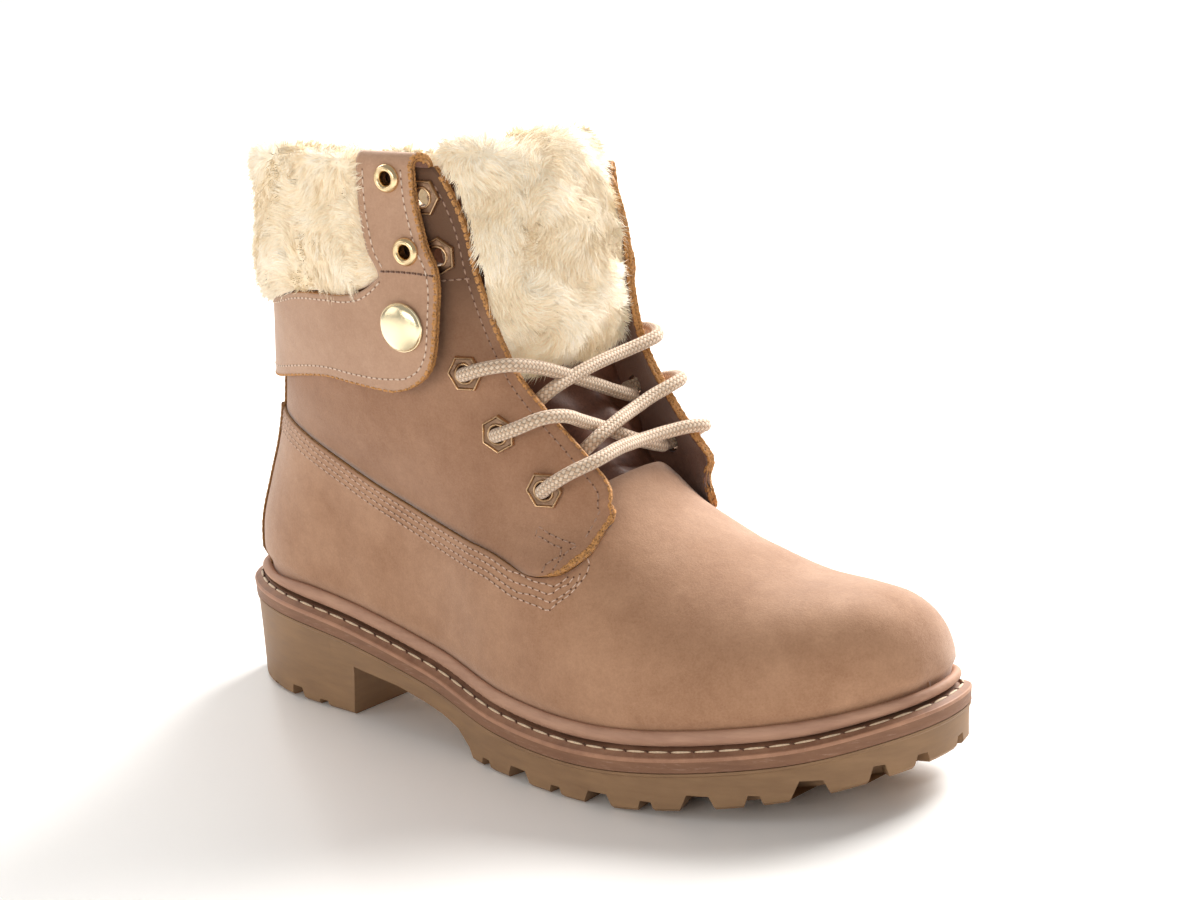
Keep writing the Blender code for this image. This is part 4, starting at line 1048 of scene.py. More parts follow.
def make_cuff():
    """Folded cuff: a band and two front strips that roll over the fold into the flaps."""
    turns = np.concatenate((np.linspace(0, 1, 60), np.linspace(1, 2, STRIP_CELLS + 1)[1:]))
    rows = np.concatenate((np.linspace(0, 1, 22), np.linspace(1, 2, 26)[1:]))[:, None]
    outer, outwards = folded(rows, turns, 0.0)
    keep = np.ones((len(outer) - 1, outer.shape[1] - 1), bool)
    keep[21:, STRIP_CELLS:-STRIP_CELLS] = False
    cuff = finish_piece("cuff_leather", skin(outer, keep), [CUFF_NUBUCK_LIT, EDGE, DARK_LEATHER],
                        ["cuff"])
    thicken(cuff, CUFF_WALL, inside=2)
    backing = finish_piece("cuff_backing", skin(folded(rows, turns, CUFF_WALL + EDGE_GAP)[0], keep),
                           [DARK_LEATHER, EDGE], ["cuff"])
    thicken(backing, BACKING_WALL)
    for piece in (cuff, backing):
        cut(piece, [eyelet_holes(CUFF_EYELETS, CUFF_EYELET_HOLE, cuff_lift)])
    both = CUFF_WALL + EDGE_GAP + BACKING_WALL + 0.2
    bar_on_edge("cuff_edge_bottom", outer[0], outwards[0], 700, 1, 1.0, both, proud=0.35)
    wide = np.interp(np.linspace(0, 1, 260), (0, 0.12, 0.3, 1), (0.7, 1.2, 1.6, 1.6))
    for (side, word), column in zip(SIDES.items(), (0, -1)):
        bar_on_edge(f"cuff_edge_{word}", outer[:-3, column], outwards[:-3, column], 260, side, wide, both)


def bar_on_edge(name, line, outwards, count, side, wide, thick, proud=0.25):
    """Cut edge along the border of a grid, from its places and normals."""
    run = length_along(line)
    normals = read_off(outwards, run, np.linspace(0, 1, count) * run[-1])
    edge_bar(name, through(line, count), normals, side, wide, thick, proud)


def rounded(share):
    """Sine or cosine with its crests drawn out square."""
    return np.sign(share) * np.abs(share) ** 0.6


def edge_bar(name, places, normals, side, wide, thick, proud, material=EDGE):
    """Cut edge of two leathers glued together: a fibrous bar with a groove, along a line."""
    ahead = heading(places)
    out = unit(normals - ahead * np.sum(normals * ahead, axis=1, keepdims=True))
    free = np.cross(out, ahead) * side
    run = length_along(places)
    ripple = 1 + 0.07 * np.sin(run * 2.3) + 0.06 * np.sin(run * 5.1 + 1)
    turn = np.arange(16) * math.pi / 8
    groove = 1 - 0.45 * np.exp(-(np.sin(turn) / 0.3) ** 2) * (np.cos(turn) > 0)
    half = (np.broadcast_to(wide, run.shape) / 2)[:, None, None]
    across, rise = rounded(np.cos(turn)) * groove, rounded(np.sin(turn))
    centre = places[:, None] + free[:, None] * (proud - half) + out[:, None] * (0.12 - thick / 2)
    hoops = centre + free[:, None] * (half * (across * ripple[:, None])[..., None])
    hoops = hoops + out[:, None] * (thick / 2 * (rise * ripple[:, None])[..., None])
    finish_piece(name, hooped(list(hoops)), [material], smooth=60)


FLAP_BAR = table(
    "share wide", (0, 0.7), (0.03, 1.6), (0.06, 2.6), (0.12, 2.4), (0.18, 1.8), (0.24, 1.1),
    (0.4, 1.1), (0.6, 1.4), (0.9, 1.7), (1, 1.5))


def make_raw_edges():
    """Cut edges round the lower corner and up the front of the flaps."""
    outer, normal = shaft_grid()
    wide = along(FLAP_BAR, "wide", np.linspace(0, 1, 330))
    for side, word in SIDES.items():
        if side == MEDIAL:
            outer, normal = outer[:, ::-1], normal[:, ::-1]
        line, outwards = (np.concatenate((grid[0, 7::-1], grid[1:43, 0])) for grid in (outer, normal))
        bar_on_edge(f"flap_edge_{word}", line, outwards, 330, side, wide,
                    LEATHER_WALL + LINING_WALL + 0.25)


# ---- fur

HAIR_WIDTH = 0.28
LOCKS = 3000
CUFF_HAIRS = 61000
TONGUE_HAIRS = 62000
# painted shade along each hair: darkest at the root, lightest at the tip
HAIR_SHADE = (0.72, 0.72, 0.95, 0.95, 1.1)     # from the root's two corners to the tip


def locks(grid, hollow_shade, count, long, lean, seed, curl, rise):
    """Fine tapering hairs over a grid of places, gathered into locks that follow the lean."""
    rng = np.random.default_rng(seed)
    normal = grid_normals(grid)
    columns = grid.shape[1]
    area = np.linalg.norm(np.cross(np.diff(grid, axis=0)[:, :-1], np.diff(grid, axis=1)[:-1]), axis=-1)
    cell = rng.choice(area.size, size=count, p=(area / area.sum()).ravel())
    r, c = np.divmod(cell, columns - 1)
    fr, fc = rng.random(count)[:, None], rng.random(count)[:, None]

    def pick(values):
        low = values[r, c] * (1 - fc) + values[r, c + 1] * fc
        high = values[r + 1, c] * (1 - fc) + values[r + 1, c + 1] * fc
        return low * (1 - fr) + high * fr

    root = pick(grid)
    out = unit(pick(normal))
    x, y, z = root.T
    swirl = np.stack([np.sin(y / 6.1 + z / 9.0 + 1.3 * np.sin(x / 11)) + 0.7 * np.sin(z / 2.9 + y / 4.1),
                      np.sin(x / 7.3 + z / 6.7 + 2.0) + 0.7 * np.sin(x / 3.3 - z / 4.3),
                      0.6 * np.sin(x / 5.1 + y / 7.9) + 0.6 * np.sin(y / 3.1 + x / 4.7 + 1.0)], -1)
    flow = np.asarray(lean) + curl * swirl
    flow -= out * np.sum(flow * out, axis=1, keepdims=True)
    flow /= np.maximum(np.linalg.norm(flow, axis=1, keepdims=True), 0.3)
    heads = np.sort(rng.choice(count, size=LOCKS, replace=False))
    tree = KDTree(LOCKS)
    for i, head in enumerate(heads):
        tree.insert(root[head], i)
    tree.balance()
    lock = np.array([tree.find(place)[1] for place in root])
    near = heads[lock]
    size = long * (0.7 + 0.5 * rng.random(count))[:, None]
    stray = 0.26 * rng.standard_normal((count, 3))
    lift = rise + 0.25 * rng.random((count, 1))
    start = out * lift + flow * 0.55 + stray
    end = flow * 0.95 + out * 0.12 + stray
    tip = root + size * 0.5 * (start + end)
    gather = root[near] + size * 0.5 * (start[near] + end[near])
    soft = out + 0.12 * rng.standard_normal((LOCKS, 3))[lock] + 0.14 * rng.standard_normal((count, 3))
    soft = unit(soft)
    middle = []
    for t in (0.0, 0.55, 1.0):
        free = root - out * 0.6 + size * (start * t * (1 - 0.5 * t) + end * 0.5 * t * t)
        middle.append(free + (gather - tip) * 0.5 * t ** 1.5)
    verts = np.empty((count, 5, 3))
    verts[:, 4] = middle[2]
    for i, share in ((0, 1.0), (1, 0.8)):
        side = np.cross(middle[i + 1] - middle[i], soft)
        side *= 0.5 * HAIR_WIDTH * share / np.maximum(np.linalg.norm(side, axis=1, keepdims=True), 1e-6)
        verts[:, 2 * i], verts[:, 2 * i + 1] = middle[i] - side, middle[i] + side
    tone = 0.5 + 0.34 * rng.random(count) + 0.16 * rng.random(LOCKS)[lock]
    # painted shade: hairs darker in the pile's hollows and towards the root
    tone = (tone * (1 - 0.36 * pick(hollow_shade[..., None])[:, 0]))[:, None] * np.array(HAIR_SHADE)
    faces = [[5 * n + i for i in face] for n in range(count) for face in ([0, 1, 3, 2], [2, 3, 4])]
    return verts.reshape(-1, 3), faces, tone.reshape(-1), np.repeat(soft, 5, axis=0)


def furry(name, body_grid, hairs, stands_for):
    """Close body of the pile, with its locks joined on; each hair is shaded as the pile's face."""
    bm = skin(body_grid)
    turn_out(bm)
    bm.normal_update()
    body, body_normals = np.array([(vert.co, vert.normal) for vert in bm.verts]).swapaxes(0, 1)
    body_faces = [[vert.index for vert in face.verts] for face in bm.faces]
    bm.free()
    places, faces, tone, soft = hairs
    start = len(body)
    mesh = bpy.data.meshes.new(name)
    both = np.concatenate((body, places)) * MM
    mesh.from_pydata(both.tolist(), [], body_faces + [[i + start for i in face] for face in faces])
    shade = mesh.attributes.new("tone", "FLOAT", "POINT")
    shade.data.foreach_set("value", np.concatenate((np.full(start, 0.6), tone)))
    mesh.shade_smooth()
    mesh.normals_split_custom_set_from_vertices(np.concatenate((body_normals, soft)).tolist())
    dress(name, mesh, [FUR], [stands_for], 0)


FUR_SECTION = table(
    "place row out rise", (0, 1, 0.6, 0.9), (1, 1.02, 3.6, 0.2), (2, 1.1, 5.6, 0), (3, 1.3, 6.8, 0),
    (4, 1.6, 6.2, 0), (5, 1.85, 5.2, 0), (6, 2, 4.2, 1.2), (7, 2, 2, 2.6), (8, 2, -1.4, 3),
    (9, 2, -4, 0), (10, 1.8, -4.6, 0), (11, 1.35, -4.6, 0), (12, 1.3, -1.6, 0))


def make_cuff_fur():
    """Pile on the turned-down cuff, over the fold and down inside."""
    at = np.linspace(0, 12, 49)
    row, out, rise = (along(FUR_SECTION, name, at)[:, None] for name in ("row", "out", "rise"))
    turns = np.linspace(0, 1.02, 62)
    side_turns = mirrored(turns)
    out = out * (1 - 0.6 * soft_step((side_turns - 0.96) / 0.06))
    flat = (1 - soft_step(side_turns / 0.5)) * soft_step((row - 1.2) / 0.6) * (out > 0)
    out = out * (1 - 0.8 * flat * (1 - 0.6 * soft_step((row - 1.75) / 0.25)))
    base = both_sides(cuff_point, turns, row)
    even_rows = both_sides(cuff_point, turns, np.linspace(1, 2, 30)[:, None])
    normal = grid_normals(even_rows)[np.clip((row[:, 0] - 1) * 29, 0, 29).astype(int)]
    x, y, z = np.moveaxis(base, -1, 0)
    lumps = (np.sin(x / 4.4 + z / 5.0 + np.sin(y / 6)) + np.sin(y / 3.6 - z / 4.4 + x / 9)) * 0.5
    lumps = lumps * np.minimum(side_turns < 0.97, at[:, None] < 9)
    grid = base + normal * (out + 1.5 * lumps)[..., None]
    grid[..., 2] += rise
    # 0.5 - 0.5 * lumps marks the hollows between the lumps that get painted shade
    hairs = locks(grid[4:44], 0.5 - 0.5 * lumps[4:44], CUFF_HAIRS, long=5.4, lean=(0.0, 0.0, -0.4),
                  seed=11, curl=0.7, rise=0.5)
    furry("cuff_fur_pile", grid, hairs, "cuff_fur")


TONGUE = table(
    "x z half drop_x drop_z", (152, 73.6, 17, 0, -5.5), (143, 80.2, 19, 0, -7),
    (133.5, 91, 22, -3, -8), (121, 107, 25, -6, -4), (113, 124, 27, -8, 0), (109, 145, 29, -9, 0),
    (106, 170, 30, -9, 0), (104, 190, 30, -9, 0))
TONGUE_FUR = table(
    "x z half drop_x drop_z", (112, 120.5, 23, -5, -1), (116.5, 123.5, 26, -6, -1),
    (119, 131, 28.5, -7, 0), (120, 145, 32, -8, 0), (119.5, 160, 33, -10, 0),
    (119, 175, 33.5, -13, 0), (116.5, 189, 34, -17, -1), (110, 195.5, 32, -14, -3),
    (101.5, 194.5, 29, -8, -3), (99, 187, 27, -8, -3))


def bowed(rows, s, t):
    """Point of a bowed sheet; s runs along the table's rows 0 to 1, t across from -1 to 1."""
    steps = np.arange(len(rows["x"]))
    x, z, half, drop_x, drop_z = (smooth_curve(steps, column, s * steps[-1]) for column in rows.values())
    return np.stack([x + drop_x * t * t, half * t, z + drop_z * t * t], -1)


def make_tongue():
    """Bowed tongue with soft folds behind the laces."""
    s, t = np.meshgrid(np.linspace(0, 1, 70), np.linspace(1, -1, 40), indexing="ij")
    points = bowed(TONGUE, s, t)
    normal = grid_normals(points)
    fold = 1.3 * np.sin(points[..., 2] / 3.2 + 2.5 * t) * np.exp(-((points[..., 2] - 101) / 13) ** 2)
    fold += 1.0 * np.sin(t * 9 + points[..., 2] / 6) * np.exp(-((points[..., 2] - 106) / 18) ** 2)
    tongue = finish_piece("tongue_leather", skin(points + normal * (fold - 0.6)[..., None]),
                          [TONGUE_NUBUCK_SHADED, EDGE, LINING], ["tongue"])
    thicken(tongue, TONGUE_WALL, inside=2)


def within_flaps(places, gap):
    """Pile's places kept inside the flaps' walls, up to the flaps' front edges."""
    x, y, z = np.moveaxis(places, -1, 0)
    edge = along(FLAP_EDGE, "x", z)
    room = upper_half(np.minimum(x, edge), z, LATERAL) - gap
    reach = np.where(y > 0, 8, 1)
    behind = soft_step((edge + reach - x) / 3) * (1 - soft_step((z - 184) / 8))
    held = places.copy()
    held[..., 1] -= np.sign(y) * np.maximum(np.abs(y) - room, 0) * behind
    return held


def make_tongue_fur():
    """Pile of the tongue's facing, folded out at the top."""
    s, t = np.meshgrid(np.linspace(0, 1, 60), np.linspace(1, -1, 44), indexing="ij")
    points = bowed(TONGUE_FUR, s, t)
    normal = grid_normals(points)
    x, y, z = np.moveaxis(points, -1, 0)
    lumps = (np.sin(y / 4.6 + z / 6.0 + np.sin(x / 7)) + np.sin(z / 4.1 - y / 5.2)) * 0.5
    grid = points + normal * (1.7 * lumps - 1.6)[..., None]
    high = soft_step((z - 140) / 45)
    grid[..., 2] -= 0.07 * y * high
    grid[..., 1] -= 1.8 * high * soft_step(t / 0.9)
    # 0.5 - 0.5 * lumps marks the hollows between the lumps that get painted shade
    hairs, *rest = locks(grid, 0.5 - 0.5 * lumps, TONGUE_HAIRS, long=5.8, lean=(0.05, 0.0, -0.55),
                         seed=23, curl=0.75, rise=0.48)
    furry("tongue_fur_pile", within_flaps(grid, 3.6), (within_flaps(hairs, 2.9), *rest), "tongue_fur")


# ---- sole

EDGE_SAMPLES = 288
HEEL_TAPER = table("x inset", (-31, 1.2), (35, 3), (60, 2), (100, 1.6), (245, 1.4))
WAIST = table("x z", (35, -2), (38.4, 17.6), (60, 15.6), (83, 11), (91, 8.6), (97, 4), (100, -2))
NOTCH_START = 46.0
NOTCH_PITCH = 17.5
NOTCH_COUNT = 8
NOTCHES = ((11.0, 7.0, 4.5, 15.0), (6.0, 3.6, 3.0, 9.0))     # wide, narrow, high, deep
TOE_NOTCHES = (10.0, 25.0)
HEEL_NOTCHES = ((12, 5, 4, 4.0), (36, 4, 3, 1.5), (52, 7, 5, 4.0), (66, 5, 4, 2.0))  # place first
HEEL_NOTCH_DEPTH = 9.0


def round_angles(count):
    return np.arange(count) * 2 * math.pi / count


def edge_loop(inset, height):
    """Loop round the sole, its height a function of x; the inset may be one too."""
    angles = round_angles(EDGE_SAMPLES)
    depth = inset(sole_edge(angles)[0]) if callable(inset) else inset
    px, py = inset_edge(angles, depth)
    return np.stack([px, py, height(px)], -1)


def step_less(drop):
    """Height of the midsole's step edge, less a drop, as a function of x."""
    return lambda x: sole_z(x, "step") - drop


def ground_plus(rise):
    """Height of the tread, plus a rise, as a function of x."""
    return lambda x: sole_z(x, "ground") + rise


def make_midsole():
    """Band with a crisp top edge, and the sloping ledge with the sewn groove."""
    levels = [(2.5, SOLE_BAND, 0), (0.7, SOLE_BAND, 0), (0.25, SOLE_BAND - 0.35, 0), (0.3, 3.4, 0),
              (0.1, 1.3, 0), (0.0, 0.6, 1), (0.1, 0.2, 1), (0.5, 0.0, 1), (1.0, -0.2, 2), (2.0, -0.75, 2),
              (2.7, -1.2, 2), (2.95, -0.7, 2), (3.3, -0.35, 2), (3.7, -0.5, 2), (4.2, -1.1, 2)]
    hoops = [edge_loop(inset, step_less(drop)) for inset, drop, _ in levels]
    bm = skin(hoop_grid(hoops), kinds=np.repeat([level[2] for level in levels[1:]], EDGE_SAMPLES))
    close_ends(bm)
    finish_piece("midsole_welted", bm, [BAND_RUBBER, TRIM_RUBBER, LEDGE_RUBBER_LIT],
                 ["midsole"], smooth=50)


def make_rand():
    """Rounded bead round the foot of the upper, ribbed aslant at the waist."""
    angles = round_angles(720)
    x, y = sole_edge(angles)
    run = length_along(np.stack([x, y], -1))
    waist = soft_step((x - 30) / 30) * (1 - soft_step((x - 120) / 30))
    low = 1 - 0.3 * soft_step((x - 215) / 45) - 0.45 * (1 - soft_step((x + 12) / 30))
    hoops = []

    def add_hoop(inset, rise):
        px, py = inset_edge(angles, inset)
        hoops.append(np.stack([px, py, sole_z(px, "step") + rise], -1))

    for i in range(RAND_HOOPS):
        turn = math.pi * 1.12 * i / (RAND_HOOPS - 1) - 0.2
        rise = RAND_FOOT + 2.4 * (1 - math.cos(turn)) * low
        ribs = 0.3 * np.sin(2 * math.pi * (run + 1.1 * rise) / RIB_PITCH) * (0.12 + waist)
        add_hoop(LEDGE_WIDTH + 1.0 - (1.95 * math.sin(turn) + ribs * math.sin(turn + 0.1)), rise)
    add_hoop(LEDGE_WIDTH + RAND_WIDTH + 0.6, RAND_FOOT + (RAND_HEIGHT - RAND_FOOT) * low)
    add_hoop(LEDGE_WIDTH + RAND_WIDTH + 0.6, RAND_FOOT)
    bm = skin(hoop_grid([*hoops, hoops[0]]))
    turn_out(bm)
    finish_piece("rand_bead", bm, [RAND_RUBBER], ["rand"], smooth=60)


def make_welt_stitches():
    """Long stitches in the ledge's groove, with a dark slant between each two."""
    angles = np.linspace(0, 2 * math.pi, 1400)
    x, y = inset_edge(angles, WELT_INSET)
    points = np.stack([x, y, sole_z(x, "step") + 1.15], -1)
    tx, ty = sole_tangent(angles)
    normals = unit(np.stack([ty, -tx, np.full_like(tx, 1.6)], -1))
    stitches("welt_stitches", [(points, normals)], WELT_PITCH, 0.85, [WELT_THREAD, HOLE],
             fill=0.9, high=0.75, holes=False)
    frames, places = along_path(points, normals, WELT_PITCH)
    half = (places + np.roll(places, -1, axis=0)) / 2
    slant = bmesh.new()
    bmesh.ops.create_uvsphere(slant, u_segments=8, v_segments=5, radius=0.5)
    bmesh.ops.scale(slant, vec=(0.55, 2.0, 0.6), verts=slant.verts)
    bmesh.ops.rotate(slant, cent=(0, 0, 0), matrix=Matrix.Rotation(0.9, 3, "Z"), verts=slant.verts)
    slant.verts.index_update()
    copies("welt_holes", slant, frames, half + frames[:, :, 2] * 0.05, [HOLE])


def edge_at(distance, from_toe):
    """Angle at a distance along the edge from the toe's tip or the heel's back; its sign picks a side."""
    start = math.pi if from_toe else 0.0
    lateral = distance < 0
    direction = -1 if lateral == from_toe else 1
    fine = start + direction * np.linspace(0, math.pi * 0.75, 900)
    x, y = sole_edge(fine)
    run = length_along(np.stack([x, y], -1))
    return float(np.interp(abs(distance), run, fine))


def drawn_out(bm, section):
    """Closed shape from a section; gives the verts of its far end, to be moved off."""
    face = bm.faces.new([bm.verts.new(place) for place in section])
    made = bmesh.ops.extrude_face_region(bm, geom=[face])["geom"]
    return [item for item in made if isinstance(item, bmesh.types.BMVert)]


def notch(bm, angle, wide, narrow, high, deep):
    """Trapezium cutter that runs inwards from the sole's edge, open to the floor."""
    x, y = inset_edge(angle, -3.0)
    tx, ty = (float(v) for v in sole_tangent(angle))
    ground = float(sole_z(float(x) + 3 * ty, "ground"))
    section = [(-wide / 2 * 1.25, -2.5), (wide / 2 * 1.25, -2.5), (narrow / 2, high), (-narrow / 2, high)]
    near = [(float(x) + a * tx, float(y) + a * ty, ground + up) for a, up in section]
    for vert in drawn_out(bm, near):
        px, py, pz = min(near, key=lambda place: (vert.co - Vector(place)).length)
        vert.co = (px - (deep + 3) * ty, py + (deep + 3) * tx, pz)


def heel_taper(x):
    return along(HEEL_TAPER, "inset", x)


def make_outsole():
    """Heel block, waist and lugs in one moulding, with its notches cut."""
    hoops = [
        edge_loop(lambda x: heel_taper(x) + 0.9, ground_plus(0.0)),
        edge_loop(heel_taper, ground_plus(0.9)),
        edge_loop(lambda x: 0.6 * heel_taper(x) + 0.35,
                  lambda x: 0.45 * ground_plus(0.9)(x) + 0.55 * step_less(SOLE_BAND)(x)),
    ]
    for inset, drop in ((0.9, 1.4), (0.45, 0.9), (0.45, 0.1)):
        hoops.append(edge_loop(inset, step_less(SOLE_BAND + drop)))
    outsole = finish_piece("outsole_lugged", hooped(hoops), [TREAD_RUBBER], ["outsole"])
    waist = bmesh.new()
    far_side = drawn_out(waist, [(x, -80, z) for x, z in zip(WAIST["x"], WAIST["z"])])
    bmesh.ops.translate(waist, vec=(0, 160, 0), verts=far_side)
    notches = bmesh.new()
    for sign in (-1, 1):
        for k in range(NOTCH_COUNT):
            notch(notches, edge_at(sign * (NOTCH_START + NOTCH_PITCH * k), True), *NOTCHES[k % 2])
        for place in TOE_NOTCHES:
            notch(notches, edge_at(sign * place, True), *NOTCHES[1])
        for place, *size in HEEL_NOTCHES:
            notch(notches, edge_at(sign * place, False), *size, HEEL_NOTCH_DEPTH)
    cut(outsole, [cutter_of(waist), cutter_of(notches)])
    outsole.data.shade_smooth()
    outsole.data.set_sharp_from_angle(angle=math.radians(30))
    adjust(outsole.modifiers.new("Soft edges", "BEVEL"), width=0.55 * MM, segments=2, limit_method="ANGLE",
           angle_limit=math.radians(35))


# ---- eyelets and snaps

EYELETS = table(
    "x z twist", (91.8, 180.3, 0), (96.3, 162.3, 0.5), (102.1, 125.7, 0), (112.2, 107.1, 0.5),
    (127.4, 90.8, 0))
CUFF_EYELETS = table("x z", (82.2, 186.4), (88.2, 164.3))
SNAP = (86.0, 141.2)
EYELET_HOLE = 3.3
CUFF_EYELET_HOLE = 2.7
HEX_SECTION = table(
    "radius rise flat kind", (2.65, -2, 0, 0), (2.65, 0.9, 0, 1), (2.8, 1.35, 0, 0),
    (3.05, 1.5, 0, 0), (3.3, 1.4, 0, 0), (3.5, 0.95, 0, 0), (3.7, 0.8, 0.4, 1), (4.45, 0.8, 1, 1),
    (4.65, 1, 1, 1), (4.8, 1.35, 1, 0), (4.95, 1.4, 1, 0), (5.15, 1.25, 1, 0), (5.3, 0.8, 1, 0),
    (5.3, 0, 1, 0), (3.2, 0, 0, 0), (3.2, -2, 0, 0))
ROUND_SECTION = table(
    "radius rise", (2.1, -1.9), (2.1, 0.8), (2.3, 1.3), (2.7, 1.7), (3.2, 1.85), (3.8, 1.6), (4.3, 1),
    (4.5, 0.3), (4.4, 0), (2.5, 0), (2.5, -1.9))


def eyelet_lift(x, z):
    return shaft_outer(x + 3, z - 4)


def wall_frame(x, z, side, lift):
    """Matrix with its Z axis out of the wall and its Y axis up the wall."""
    place, normal = wall(x, z, side, lift=lift)
    up = wall(x, z + 0.3, side)[0] - wall(x, z - 0.3, side)[0]
    up -= normal * np.dot(up, normal)
    up /= np.linalg.norm(up)
    frame_of = Matrix([[*row] for row in np.stack((np.cross(up, normal), up, normal), axis=1)]).to_4x4()
    frame_of.translation = Vector(place)
    return frame_of


def turned(bm, rows, count, place, twist=0.0, closed=True):
    """Ring turned from a section; flat rows are drawn out to a hexagon."""
    sector = math.pi / 3
    angles = np.append(round_angles(count), 0)
    local = (angles - twist * sector) % sector - sector / 2
    grid = []
    flats = rows.get("flat", np.zeros(len(rows["radius"])))
    for radius, rise, flat in zip(rows["radius"], rows["rise"], flats):
        reach = radius * (1 + flat * (1 / np.cos(local) - 1))
        ring = np.stack([reach * np.cos(angles), reach * np.sin(angles), np.full(count + 1, rise)], -1)
        grid.append([place @ Vector(point) for point in ring])
    if closed:
        grid.append(grid[0])
    grid = np.array(grid)
    kinds = np.resize(rows.get("kind", np.zeros(1)), len(grid))[1:]
    part = skin(grid, kinds=np.repeat(kinds, count))
    turn_out(part)
    mesh = mesh_of("part", part)
    bm.from_mesh(mesh)
    bpy.data.meshes.remove(mesh)


def eyelet_holes(places, radius, lift):
    """Cutters for the holes that the eyelets sit in, on both sides."""
    bm = bmesh.new()
    for side in SIDES:
        for x, z in zip(places["x"], places["z"]):
            hole = bmesh.ops.create_cone(bm, cap_ends=True, segments=28, radius1=radius, radius2=radius,
                                         depth=12)["verts"]
            bmesh.ops.transform(bm, matrix=wall_frame(x, z, side, lift(x, z)), verts=hole)
    return cutter_of(bm)


def make_eyelets():
    """Hexagonal eyelets of the flaps, round ones of the cuff, and the snap's caps."""
    for side, word in SIDES.items():
        bm = bmesh.new()
        for x, z, twist in zip(EYELETS["x"], EYELETS["z"], EYELETS["twist"]):
            turned(bm, HEX_SECTION, 48, wall_frame(x, z, side, eyelet_lift(x, z) + 0.1), twist)
        finish_piece(f"hex_eyelets_{word}", bm, [OLD_BRASS, PLATE_BRASS],
                     [f"eyelet_{word}_{i + 1}" for i in range(5)], smooth=32)
        bm = bmesh.new()
        for x, z in zip(CUFF_EYELETS["x"], CUFF_EYELETS["z"]):
            turned(bm, ROUND_SECTION, 40, wall_frame(x, z, side, cuff_lift(x, z)))
        finish_piece(f"round_eyelets_{word}", bm, [BRIGHT_BRASS],
                     [f"cuff_eyelet_{word}_{i + 1}" for i in range(2)], smooth=45)
        angles = np.linspace(0, math.pi / 2, 9)
        cap = {"radius": np.concatenate(([7.0, 7.6, 7.9, 7.75], 7.5 * np.cos(angles))),
               "rise": np.concatenate(([0.4, 0.4, 0.75, 1.15], 1.2 + 2.0 * np.sin(angles)))}
        bm = bmesh.new()
        turned(bm, cap, 56, wall_frame(*SNAP, side, cuff_lift(*SNAP)), closed=False)
        bmesh.ops.remove_doubles(bm, verts=bm.verts, dist=0.01)
        close_ends(bm)
        finish_piece(f"snap_cap_{word}", bm, [GOLD], [f"snap_{word}"], smooth=50)


# ---- lace

LACE = 4.3
LACE_STEP = 0.75
LACE_SIDES = 20
PASS_OUT = (-5.5, -1.5, 2.4)   # heights over the wall of the lace's middle, as it passes out
PASS_IN = PASS_OUT[::-1]
BEHIND_FLAP = (-6.0,)
LACE_RUNS = {
    "top_over": [(112.5, -39.6, 129), (119, -35.5, 130), (121.4, -26, 127.6), (121.8, -12, 121.9),
                 (121.4, 2, 115.5), (121, 13, 110.4), (118.8, 22, 107)],
    "top_back": [(118.5, -26, 114), (121.8, -21, 118.4), (122.4, -10, 121), (121.6, 4, 122.3),
                 (121, 17, 122.8), (122.2, 25, 123.8), (122.4, 30.5, 124.4), (118.6, 35.8, 124.4),
                 (111, 39.6, 124)],
    "middle_over": [(124, -38.6, 111.5), (131, -34, 114.6), (132.8, -27, 113.8), (131.8, -17, 109.5),
                    (131.4, -5, 104), (133, 3, 99.6), (132.8, 12, 95.6), (131.5, 20, 92.6)],
    "middle_back": [(131, -21, 98), (134.6, -16.5, 103), (134.6, -6, 106.4), (131.6, 8, 107.7),
                    (131.6, 17, 109.6), (132.8, 24, 111.2), (132.4, 29.5, 111.8), (128, 34.6, 111),
                    (121, 38, 109.4)],
    "bottom_bar": [(135, -36, 95), (141, -34, 98.8), (144, -27.8, 100.7), (142, -12, 101.3),
                   (139.2, 2, 100), (140, 14, 99.8), (142.3, 22, 99.8), (142.9, 26.8, 99),
                   (139.8, 31.6, 97.4), (134.6, 36.4, 95.2)],
}


def at_eyelet(side, number, heights, lift=eyelet_lift):
    """Places of the lace's middle at heights over the wall, at one of the flap's eyelets."""
    x, z = EYELETS["x"][number - 1], EYELETS["z"][number - 1]
    place, normal = wall(x, z, side, lift=lift(x, z))
    return [place + normal * height for height in heights]


def behind(side, number):
    return at_eyelet(side, number, BEHIND_FLAP, lambda x, z: 0.0)


def lace_route():
    """One lace: from inside the outer top eyelet, crossing down to the bottom bar and back up."""
    return np.array([
        *behind(LATERAL, 1), *behind(LATERAL, 2),
        *at_eyelet(LATERAL, 3, PASS_OUT), *LACE_RUNS["top_over"],
        *at_eyelet(MEDIAL, 4, PASS_OUT), *LACE_RUNS["middle_back"][::-1],
        *at_eyelet(LATERAL, 5, PASS_OUT), *LACE_RUNS["bottom_bar"],
        *at_eyelet(MEDIAL, 5, PASS_IN), *LACE_RUNS["middle_over"][::-1],
        *at_eyelet(LATERAL, 4, PASS_IN), *LACE_RUNS["top_back"],
        *at_eyelet(MEDIAL, 3, PASS_IN),
        *behind(MEDIAL, 2), *behind(MEDIAL, 1),
    ])


